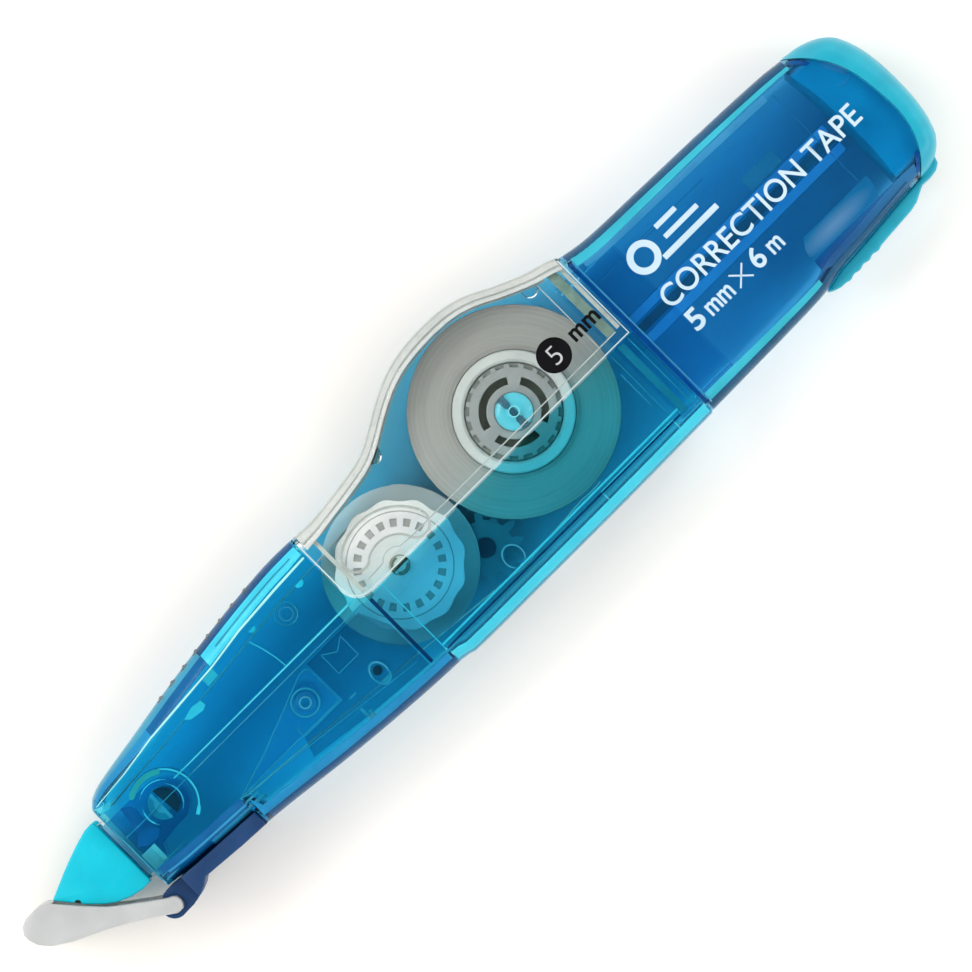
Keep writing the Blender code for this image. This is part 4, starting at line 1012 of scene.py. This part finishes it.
# ---------------- inside faces of the middle
near_plates("refill_frame", [
    strip([(-12.6, -2.2), (-12.6, -12.6)], 0.14),
    strip([(-12.6, -11.9), (25.4, -11.8)], 0.26),
    strip([(12.6, -12.3), (12.6, -14.4)], 0.12), strip([(24.1, -12.3), (24.1, -14.4)], 0.12),
    strip([(12.6, -12.35), (24.1, -12.3)], 0.12),
], "pale", 0.3)
near_plates("refill_frame_shade", [
    strip([(-12.4, -12.55), (25.2, -12.5)], 0.22),
    strip([(-14.7, -2.4), (-14.75, -12.4)], 0.45),
], "navy", 0.3)
near_plates("refill_end_lines", [
    strip([(27.1, -2.1), (27.1, -13.0)], 0.16), strip([(23.6, -4.5), (23.6, -9.5)], 0.14),
    strip([(24.3, -2.1), (24.3, -11.8)], 0.1),
], "soft", 0.3)
near_plates("refill_end_wall", [strip([(25.9, -2.1), (25.9, -12.6)], 0.9)], "faint", 0.3, 0.2)
near_plates("refill_box_marks", [
    strip([(14.2 + 0.9 * k, -14.0 - 0.12 * (k % 2)), (14.7 + 0.9 * k, -14.1 + 0.12 * (k % 2))], 0.2)
    for k in range(10)
], "glint", 0.12)
ring_piece("drop_ring", (0.3, -10.5), 1.3, 1.12, "soft", thick=0.3, squash=1.2)

# window: rim with a painted glint, inner frame, raised slot lip, clear end wall
RIM = [
    (WINDOW_RIGHT - 0.08, 9.8), (WINDOW_RIGHT - 0.08, WINDOW_BOTTOM + 0.1), (12.0, WINDOW_BOTTOM + 0.1),
    *arc(WINDOW_BEND, WINDOW_CORNER - 0.08, 270.0, 180.0, 10), (WINDOW_LEFT + 0.08, 7.6),
]


def window_plates(name, outlines, mat, top=INNER, thick=0.2):
    return built(plates(name, outlines, top - thick, top, M[mat]), "window", "clear_plastic")


window_plates("window_rim", [strip(RIM, 0.17)], "glint_clear", FACE + 0.02, 0.15)
window_plates("window_inner_frame", [
    strip([(26.6, -0.62), (-6.6, -0.62), *arc((-9.4, -1.6), 1.75, 40.0, 140.0, 10), (-12.2, -0.6),
                   (-13.2, -0.6)], 0.15),
    strip([(-14.6, -1.3), (-14.6, 7.9)], 0.5), strip([(24.0, -0.6), (24.0, 9.6)], 0.12),
], "clear_edge", thick=0.4)
window_plates("window_end_wall", [strip([(26.05, -0.5), (26.05, 10.0)], 1.2)], "green_wall",
              INNER - 0.05, 0.5)
window_plates("window_end_sheen", [strip([(27.2, -0.5), (27.2, 9.6)], 0.5)], "clear_edge",
              INNER - 0.05, 0.5)


def slot_arc(radius, width):
    """Line along the slot, with thin ends."""
    return strip(arc(TAKEUP, radius, SLOT_START, SLOT_STOP, 40), [0.1] + [width] * 39 + [0.1])


def slot_end(angle, start):
    """Half round line at one end of the slot."""
    return strip(arc(on_circle(TAKEUP, SLOT_RADIUS, angle), 1.6, start, start + 180.0, 16), 0.3)


window_plates("slot_lip_outer", [slot_arc(6.75, 0.3)], "lip_line", FACE + 0.02)
window_plates("slot_lip_inner", [
    slot_arc(3.55, 0.24), slot_end(SLOT_STOP, SLOT_STOP), slot_end(SLOT_START, SLOT_START + 180.0),
], "lip_line", FACE + 0.015)
edge_strip("window_edge", "window", -15.9, 27.5, None, (0.3, 0.3), "clear_edge", 0.15, 0.12)
edge_strip("window_band", "window", -15.8, 27.4, (0.35, 0.35), (1.65, 1.65), "clear_white", 0.3, 0.12)
edge_strip("window_band_line", "window", -15.7, 27.3, (0.95, 0.95), (1.1, 1.1), "lip_line", 0.1, 0.08)
# painted shadow of the wall's inner face along the foot of the bright band
BAND_INNER = [(x, interp(TOP_EDGE, x) - 1.85) for x in [-14.2 + 0.8 * k for k in range(50)]]
window_plates("window_band_shadow", [strip(BAND_INNER, 0.22)], "lip_line", thick=0.3)
window_plates("window_notch", [
    [(-4.6, 9.1), (-3.6, 9.2), (-2.8, 10.0), (-1.6, 9.8), (-2.0, 8.7), (-2.9, 7.9), (-3.8, 8.3)],
], "clear_green", thick=0.3)

# ---------------- inside faces of the tail
def tail_level(x):
    return tail_face(x) - FACE


def tail_face(x):
    """Height of the tail's face, which narrows more slowly where its end bulges."""
    if x > TAIL_STRAIGHT:
        x = TAIL_STRAIGHT + (x - TAIL_STRAIGHT) * 0.42
    return FACE - TAIL_NARROWING * (x - TAIL_X0) / (TAIL_X1 - TAIL_X0)


def tail_plates(name, outlines, mat, thick=0.2, drop=0.0):
    piece = plates(name, outlines, INNER - drop - thick, INNER - drop, M[mat], tail_level)
    return built(piece, "tail", "blue_translucent")


# strips in the tail's rounded edges: painted shade on the rims and painted highlights beside them
edge_strip("tail_edge_top", "tail_top", 28.4, 61.8, None, (1.0, 1.2), "tail_edge")
edge_strip("tail_highlight_upper", "tail_top", 28.8, 61.8, (0.95, 1.15), (2.05, 1.55), "tail_highlight")
edge_strip("tail_highlight_second", "tail_top", 29.5, 57.5, (2.0, 1.85), (2.7, 2.7), "tail_soft")
edge_strip("tail_edge_bottom", "tail_bottom", 28.4, 62.2, None, (1.15, 0.95), "tail_edge")
edge_strip("tail_highlight_lower", "tail_bottom", 28.8, 47.2, (1.1, 1.0), (2.1, 1.6), "tail_highlight")
tail_plates("tail_joint_line", [strip([(28.75, -14.0), (28.75, 8.6)], 0.16)], "soft", 0.2, -0.6)
tail_plates("tail_joint_shade", [strip([(28.3, -13.6), (28.3, 8.4)], 0.5)], "slope_dark", 0.2, 0.4)
tail_plates("tail_sheen", [
    [(49.4, -8.2), (59.5, -8.2), (59.4, -9.6), (58.8, -10.85), (49.4, -10.85), (48.3, -10.5), (48.5, -9.4)],
], "lilac", 0.15, 0.3)
tail_plates("tail_step", [
    box(49.0, 53.9, -0.3, 1.6), strip([(58.4, 5.8), (58.4, -12.2)], 0.12),
    strip([(36.0, 4.9), (46.0, 4.7)], 0.1), strip([(29.5, 4.6), (41.0, 4.55)], 0.1),
], "faint", 0.15, 0.3)
tail_plates("tail_shadow_lower", [
    [(48.4, -10.9), (58.2, -10.9), (64.3, -11.0), (63.8, -12.3), (49.5, -12.7), (48.2, -12.3)],
], "tail_shadow", 0.15, 0.3)
tail_plates("tail_seam_shade", [strip([
    (62.3, 7.0), (63.3, 6.1), (64.8, 3.8), (66.1, 0.5), (66.8, -3.0), (66.8, -6.0), (66.2, -8.8),
    (65.1, -10.9), (63.9, -12.1),
], 0.5)], "slope_dark", 0.2, 0.25)
tail_plates("tail_lug", [
    [(64.7, 4.6), (65.4, 4.2), (66.1, 3.0), (66.5, 1.9), (66.0, 1.5), (65.5, 2.4), (64.9, 3.6)],
    strip([(64.3, 1.4), (65.2, 0.95), (66.3, 1.2)], 0.2),
], "soft", 0.2, 0.2)
# the long strip inside the tail: two light bands beside a deep one
for i, (y, x1, width, mat) in enumerate([(-1.05, 60.2, 1.05, "spine"), (-3.95, 60.2, 1.15, "spine"),
                                         (-2.45, 60.0, 1.1, "tail_deep")]):
    band = plates(f"spine_face_{i}", [strip([(28.9, y), (x1, y)], width)], 9.05, 9.3, M[mat], None, 0.05)
    built(band, "housing", "blue_translucent")

# ---------------- supply reel
SPINDLE = [
    (0.0, 11.7), (0.62, 11.7), (0.76, 11.9), (0.76, 12.25), (0.95, 12.4), (1.6, 12.35), (2.05, 12.1),
    (2.2, 11.7), (2.2, 1.45), (0.0, 1.45),
]
spindle = revolve("spindle_fine", SPINDLE, SUPPLY, M["spindle"], 96, False)
built(spindle, "housing", "blue_translucent", "supply_spindle")
# the spindle's clear boss: a bright floor under it and a ring on top are painted light, and a dark band is
# drawn across it
spindle_dark_band = box(SUPPLY[0] - 0.5, SUPPLY[0] + 0.3, SUPPLY[1] - 1.95, SUPPLY[1] + 1.95)
boss_parts = [
    prism("spindle_dark_band", [spindle_dark_band], 11.0, 11.2, M["tail_deep"], 0.05),
    prism("spindle_painted_light", [circle(SUPPLY, 2.05)], 10.6, 10.9, M["highlight"], 0.05),
    tube("spindle_highlight_ring", SUPPLY, 0.55, 0.68, 12.3, 12.4, M["highlight"], 48, 0.02),
]
for part in boss_parts:
    built(part, "housing", "blue_translucent")

# painted shade seen through the clutch's openings and in the gaps between its teeth
clutch_gaps = [
    tube("clutch_recess_shade", SUPPLY, 2.3, 5.6, 7.9, 8.3, M["green"], 96, 0.05),
    tube("clutch_rim_gap_shade", SUPPLY, 5.0, 5.62, 9.8, 10.0, M["rim_gap_shade"], 96, 0.03),
]
for part in clutch_gaps:
    built(part, "supply_drive", "natural_plastic")

# twenty teeth round the clutch ring, and three spokes between its rim and its hub
TEETH = 20
TOOTH_STEP = 360.0 / TEETH
SPOKES = [45.0, 180.0, 285.0]
SPOKE_HALF = 12.0
clutch_outer = []
for i in range(TEETH):
    middle = TOOTH_STEP * i
    clutch_outer += arc(SUPPLY, 5.52, middle - 3.2, middle + 3.2, 2)
    clutch_outer += arc(SUPPLY, 5.1, middle + 3.5, middle + TOOTH_STEP - 3.5, 4)
clutch_outlines = [clutch_outer, circle(SUPPLY, 2.26, 64)]
for spoke, following in zip(SPOKES, SPOKES[1:] + [SPOKES[0] + 360.0]):
    clutch_outlines.append(band_outline(SUPPLY, 3.15, 4.05, spoke + SPOKE_HALF, following - SPOKE_HALF, 24))
clutch = prism("clutch_fine", clutch_outlines, 8.5, 10.5, M["clutch"], 0.06)
built(clutch, "supply_drive", "white_plastic", "clutch_ring")

CORE = [
    (6.9, 10.6), (7.08, 10.42), (7.08, 3.7), (6.9, 3.55), (5.85, 3.55), (5.7, 3.7), (5.7, 10.2),
    (5.8, 10.4), (6.05, 10.6),
]
core = revolve("core_fine", CORE, SUPPLY, M["core"], 128)
built(core, "supply_reel", "white_plastic", "supply_core")
roll = tube("roll_fine", SUPPLY, 7.15, 12.3, TAPE_LOW, TAPE_HIGH, M["roll"], 192, 0.06)
built(roll, "supply_reel", "tape", "tape_roll")

# ---------------- take-up reel
FLANGE_RADIUS, SCALLOPS, SCALLOP_DEPTH, FLANGE_STEPS = 7.45, 12, 0.17, 144
NOTCHES, NOTCH_HALF = 20, 4.6


def scalloped(i):
    """Point i of the near disc's wavy rim."""
    angle = 360.0 / FLANGE_STEPS * i
    wave = math.cos(math.radians(SCALLOPS * angle))
    return on_circle(TAKEUP, FLANGE_RADIUS + SCALLOP_DEPTH * wave, angle)


flange_outlines = [[scalloped(i) for i in range(FLANGE_STEPS)], circle(TAKEUP, 1.16)]
for i in range(NOTCHES):
    middle = 360.0 / NOTCHES * i
    flange_outlines.append(band_outline(TAKEUP, 4.45, 5.35, middle - NOTCH_HALF, middle + NOTCH_HALF, 2))
flange = prism("takeup_flange_fine", flange_outlines, 10.0, 10.8, M["white"], 0.08)
built(flange, "takeup", "white_plastic", "takeup_flange")
web = tube("takeup_web", TAKEUP, 4.3, 5.5, 10.1, 10.55, M["natural"], 96, 0.04)
built(web, "takeup", "natural_plastic")
step = tube("takeup_step", TAKEUP, 6.1, 6.24, 10.7, 10.84, M["natural"], 128, 0.02)
built(step, "takeup", "white_plastic")

# the dark gap round the pin, painted shade, is broken on two sides, and a sheet of painted shade darkens the
# lower half of the disc, under the blue wall
PIN_GAPS = ((70.0, 185.0), (215.0, 330.0))
gap_arcs = [band_outline(TAKEUP, 0.74, 1.02, start, stop, 14) for start, stop in PIN_GAPS]
built(prism("pin_gap_shade", gap_arcs, 11.32, 11.4, M["green"], 0.02), "housing", "steel")
takeup_shade = prism("takeup_painted_shade", [arc(TAKEUP, 9.15, 181.0, 359.0, 60)], 11.45, 11.6, M["takeup_painted_shade"], 0.02)
built(takeup_shade, "housing", "blue_translucent")
used = tube("used_tape_fine", TAKEUP, 6.45, 6.9, TAPE_LOW, TAPE_HIGH, M["used"], 128, 0.05)
built(used, "takeup", "tape_film", "takeup_tape")

# ---------------- head
WEDGE = [
    (-55.2, 1.75), (-55.35, 1.95), (-55.6, 2.05), (-56.6, 2.0), (-58.5, 1.45), (-60.0, 0.92), (-61.5, 0.35),
    (-64.6, -1.0), (-64.8, -1.15), (-64.6, -1.4), (-62.3, -4.2), (-60.9, -5.6), (-59.8, -6.4), (-58.2, -7.1),
    (-56.6, -7.45), (-55.6, -7.45), (-55.35, -7.35), (-55.2, -7.1),
]
BLADE = [
    (-55.2, 1.1), (-56.6, 1.3), (-58.5, 0.8), (-61.3, -0.25), (-63.6, -1.2), (-63.75, -1.45),
    (-61.8, -3.9), (-60.4, -5.2), (-59.3, -5.85), (-57.9, -6.5), (-56.5, -6.85), (-55.2, -6.8),
]
FLANGE_LEVELS, FLANGE_THICK = (3.2, 9.9), 1.1
TIP_PIN, NOTCH = (-61.9, -2.75), (-63.0, -3.35)
wedge = prism("wedge_fine", [BLADE], 3.7, 10.5, M["wedge"], 0.1)
for i, z in enumerate(FLANGE_LEVELS):
    add(wedge, prism(f"flange_{i}", [WEDGE], z, z + FLANGE_THICK, round_edge=0.22))
cut(wedge, rod("pin_hole", TIP_PIN, 0.62, 2.0, 10.2, steps=32))
cut(wedge, rod("flange_notch", NOTCH, 0.42, 9.6, 12.0, steps=32))
resharpen(wedge)
built(wedge, "head", "cyan", "head_wedge")
# the floor of the wedge's notch, dark with painted shade
notch_floor = arc(NOTCH, 0.5, -52.0, 128.0, 16)
built(prism("flange_notch_shade", [notch_floor], 9.72, 9.85, M["green"], 0.02), "head", "cyan")

spring = band_outline(HEAD_PIVOT, 3.7, 4.1, -62.0, 117.0, 40)
spring_leaf = prism("head_spring_fine", [spring], 8.4, 11.4, M["light_blue"], 0.06)
built(spring_leaf, "housing", "light_blue", "head_spring")

# ---------------- guard and bracket
BRACKET = [
    (-41.2, -10.2), (-41.2, -12.15), (-45.0, -11.95), (-50.4, -11.5), (-51.2, -12.1),
    (-52.0, -12.45), (-52.5, -12.6), (-52.5, -9.5), (-50.0, -9.72),
]
EAR = [(-51.8, -10.3), (-52.4, -9.6), (-54.2, -9.45), (-55.3, -9.5), (-55.7, -9.75)]
EAR += arc(GUARD_HINGE, 1.08, 95.0, -185.0, 40)
EAR += arc(GUARD_HINGE, 1.62, -185.0, -80.0, 18)
EAR += [(-53.6, -12.82), (-52.3, -12.5), (-51.8, -12.25)]
bracket = prism("bracket_fine", [BRACKET], 1.3, 12.7, M["navy"], 0.2)
for i, z in enumerate((3.2, 9.6)):
    add(bracket, prism(f"ear_{i}", [EAR], z, z + 1.4, round_edge=0.08))
resharpen(bracket)
built(bracket, "housing", "blue_dark", "guard_bracket")

GUARD = [
    (-65.21, -1.17), (-65.92, -0.6), (-67.0, -0.35), (-68.4, -0.4), (-69.3, -0.8), (-69.85, -1.6),
    (-69.9, -2.3), (-69.5, -3.5), (-68.5, -4.7), (-66.4, -6.05), (-62.8, -7.75), (-60.4, -9.05),
    (-58.6, -10.15), (-57.0, -11.25),
]
GUARD += arc(GUARD_HINGE, 1.0, 229.0, 409.0, 20)
GUARD += [(-55.7, -9.85), (-57.0, -8.9), (-58.1, -8.07), (-59.24, -7.25), (-60.86, -5.96), (-62.67, -4.05)]
GUARD_INSIDE = [
    (-64.2, -1.2), (-66.4, -1.3), (-68.0, -1.3), (-68.8, -1.9), (-68.7, -2.9), (-67.9, -3.9),
    (-65.9, -5.1), (-62.4, -6.75), (-60.6, -7.6), (-59.6, -6.2), (-61.0, -4.8), (-62.6, -2.6),
]
GUARD_LOW, GUARD_HIGH, GUARD_WALL = 2.0, 12.2, 0.9
guard = prism("guard_fine", [GUARD], GUARD_LOW, GUARD_HIGH, M["milky"], 0.3)
cut(guard, prism("hollow", [GUARD_INSIDE], GUARD_LOW + GUARD_WALL, GUARD_HIGH - GUARD_WALL))
cut(guard, rod("ear_space", GUARD_HINGE, 2.9, GUARD_LOW + GUARD_WALL, GUARD_HIGH - GUARD_WALL))
add(guard, rod("trunnion", GUARD_HINGE, 0.99, GUARD_LOW + 0.4, GUARD_HIGH - 0.4))
resharpen(guard)
built(guard, "guard", "milky", "tip_guard")

# ---------------- carried-over CAD nodes
CARRIED = {
    "tail_collar": "collar", "tail_spine": "collar", "supply_gear": "gear", "idler_gear": "gear",
    "takeup_gear": "gear", "idler_pin": "blue", "takeup_pin": "cream", "takeup_hub": "hub",
    "tape_feed": "film", "tape_return": "film", "tape_tip": "film", "tip_guide_pin": "steel",
    "head_carrier": "carrier", "head_pivot": "blue", "head_stop": "light_blue",
}
for name, key in CARRIED.items():
    nodes[name].data.materials.clear()
    nodes[name].data.materials.append(M[key])


# ---------------- print
LETTER_HEIGHT = 0.7
ABOVE_FACE = 0.02


def lettering(name, text, x, baseline, height, surface, mat, body, slot, width=None, thick=0.0):
    """Printed text on the near face; height and width are its size, surface(x) is the level of the face."""
    curve = bpy.data.curves.new(name, "FONT")
    curve.body = text
    curve.size = height / LETTER_HEIGHT * MM
    curve.offset = thick * MM
    mesh = evaluated_mesh(bpy.data.objects.new(name, curve))
    right = max(v.co.x for v in mesh.vertices)
    stretch = width * MM / right if width else 1.0
    for vertex in mesh.vertices:
        vertex.co.x = vertex.co.x * stretch + x * MM
        vertex.co.y += baseline * MM
        vertex.co.z = (surface(vertex.co.x / MM) + ABOVE_FACE) * MM
    mesh.materials.clear()
    mesh.materials.append(mat)
    obj = bpy.data.objects.new(name, mesh)
    bpy.context.scene.collection.objects.link(obj)
    return built(obj, body, slot)


def window_face(_):
    return FACE


def disc_face(_):
    return FACE + 0.01


def tail_print(obj):
    return built(obj, "tail", "white_plastic")


INK = (M["white_ink"], "tail", "white_plastic")
PRINT_LEVELS = (FACE, FACE + 0.03, M["white_ink"])
lettering("print_title", "CORRECTION TAPE", 32.8, -3.35, 2.6, tail_face, *INK, 31.0, 0.03)
lettering("print_width", "5", 33.1, -7.2, 2.5, tail_face, *INK, 1.85, 0.07)
lettering("print_width_unit", "mm", 35.6, -7.2, 2.25, tail_face, *INK, 3.9, 0.06)
cross = [strip([(40.2, -7.2), (42.3, -5.2)], 0.2), strip([(40.2, -5.2), (42.3, -7.2)], 0.2)]
tail_print(plates("print_times", cross, *PRINT_LEVELS, tail_level, 0.005))
lettering("print_length", "6", 43.05, -7.2, 2.5, tail_face, *INK, 1.7, 0.06)
lettering("print_length_unit", "m", 45.5, -7.2, 2.25, tail_face, *INK, 1.95, 0.06)
ring = prism("print_reel_ring", [circle((34.9, 3.1), 2.0, 64), circle((34.9, 3.1), 1.2)], *PRINT_LEVELS)
bend(ring, tail_level)
tail_print(ring)
strips = [
    strip([(36.5, 1.42), (45.0, 1.42)], 0.7), strip([(38.2, 3.05), (43.4, 3.05)], 0.6),
    strip([(38.2, 4.6), (41.4, 4.6)], 0.6),
]
tail_print(plates("print_reel_strips", strips, *PRINT_LEVELS, tail_level, 0.005))

disc = prism("print_disc", [circle((19.75, 2.45), 2.07, 64)], FACE + 0.005, FACE + 0.02, M["black_ink"])
built(disc, "window", "clear_plastic")
lettering("print_disc_number", "5", 18.95, 1.3, 2.3, disc_face,
          M["disc_ink"], "window", "white_plastic", 1.45, -0.04)
lettering("print_disc_unit", "mm", 22.5, 1.75, 2.0, window_face,
          M["black_ink"], "window", "clear_plastic", 4.15, 0.08)

# ---------------- stage, lights, camera
FLOOR_SIZE, FLOOR_DROP = 3.0, 0.0003
bpy.ops.mesh.primitive_plane_add(size=FLOOR_SIZE, location=(0.0, 0.0, -FLOOR_DROP))
floor = bpy.context.object
floor.name = "floor"
floor_mat, tree, shader, _ = node_material("pale_floor")
where = coords(tree, (0.02, 0.02, 0.02))
floor_colour = ramp(tree, noise(tree, where, 1.0), (0.975, 0.935, 0.885), (0.985, 0.95, 0.90))
tree.links.new(floor_colour, shader.inputs["Base Color"])
shader.inputs["Roughness"].default_value = 0.7
shader.inputs["Specular IOR Level"].default_value = 0.1
floor.data.materials.append(floor_mat)

# white sky, dimmer straight overhead, where the flat faces would mirror it
SKY_BRIGHT, SKY_OVERHEAD = 1.27, 0.2
DIMMING_START, DIMMING_END = 0.88, 0.985
world = bpy.data.worlds.new("studio")
bpy.context.scene.world = world
world.use_nodes = True
sky = world.node_tree
background = sky.nodes["Background"]
background.inputs["Color"].default_value = (1.0, 1.0, 1.0, 1.0)
direction = sky.nodes.new("ShaderNodeTexCoord")
split = sky.nodes.new("ShaderNodeSeparateXYZ")
sky.links.new(direction.outputs["Generated"], split.inputs[0])
dimming = sky.nodes.new("ShaderNodeMapRange")
dimming.interpolation_type = "SMOOTHSTEP"
dimming.inputs["From Min"].default_value = DIMMING_START
dimming.inputs["From Max"].default_value = DIMMING_END
dimming.inputs["To Min"].default_value = SKY_BRIGHT
dimming.inputs["To Max"].default_value = SKY_OVERHEAD
sky.links.new(split.outputs["Z"], dimming.inputs["Value"])
sky.links.new(dimming.outputs["Result"], background.inputs["Strength"])


def softbox(name, location, size, power):
    """Rectangular lamp that points at the middle of the object."""
    lamp = bpy.data.lights.new(name, "AREA")
    lamp.shape = "RECTANGLE"
    lamp.size, lamp.size_y = size
    lamp.energy = power
    obj = bpy.data.objects.new(name, lamp)
    obj.location = location
    obj.rotation_euler = (-Vector(location)).to_track_quat("-Z", "Y").to_euler()
    bpy.context.scene.collection.objects.link(obj)


SOFTBOX_SIZE = (0.4, 0.2)
softbox("key", (-0.25, 0.35, 0.45), SOFTBOX_SIZE, 1.1)
softbox("fill", (0.3, -0.35, 0.35), SOFTBOX_SIZE, 0.5)

# light has to get through many see-through walls
LIGHT_BOUNCES, SHADOW_BOUNCES = 24, 32
cycles = bpy.context.scene.cycles
cycles.transparent_max_bounces = SHADOW_BOUNCES
cycles.max_bounces = LIGHT_BOUNCES
cycles.transmission_bounces = LIGHT_BOUNCES

CAMERA_CENTRE = (3.74, -2.6)
VIEW_WIDTH = 111.1
CAMERA_HEIGHT = 900.0
SUBJECT_HEIGHT = 11.0
SENSOR = 36.0
ROLL = -45.0
camera_data = bpy.data.cameras.new("camera")
camera_data.sensor_width = SENSOR
camera_data.lens = SENSOR * (CAMERA_HEIGHT - SUBJECT_HEIGHT) / VIEW_WIDTH
camera_data.clip_start, camera_data.clip_end = 0.05, 10.0
camera = bpy.data.objects.new("camera", camera_data)
camera.location = (CAMERA_CENTRE[0] * MM, CAMERA_CENTRE[1] * MM, CAMERA_HEIGHT * MM)
camera.rotation_euler = (0.0, 0.0, math.radians(ROLL))
bpy.context.scene.collection.objects.link(camera)
bpy.context.scene.camera = camera
bpy.context.scene.view_settings.view_transform = "Standard"
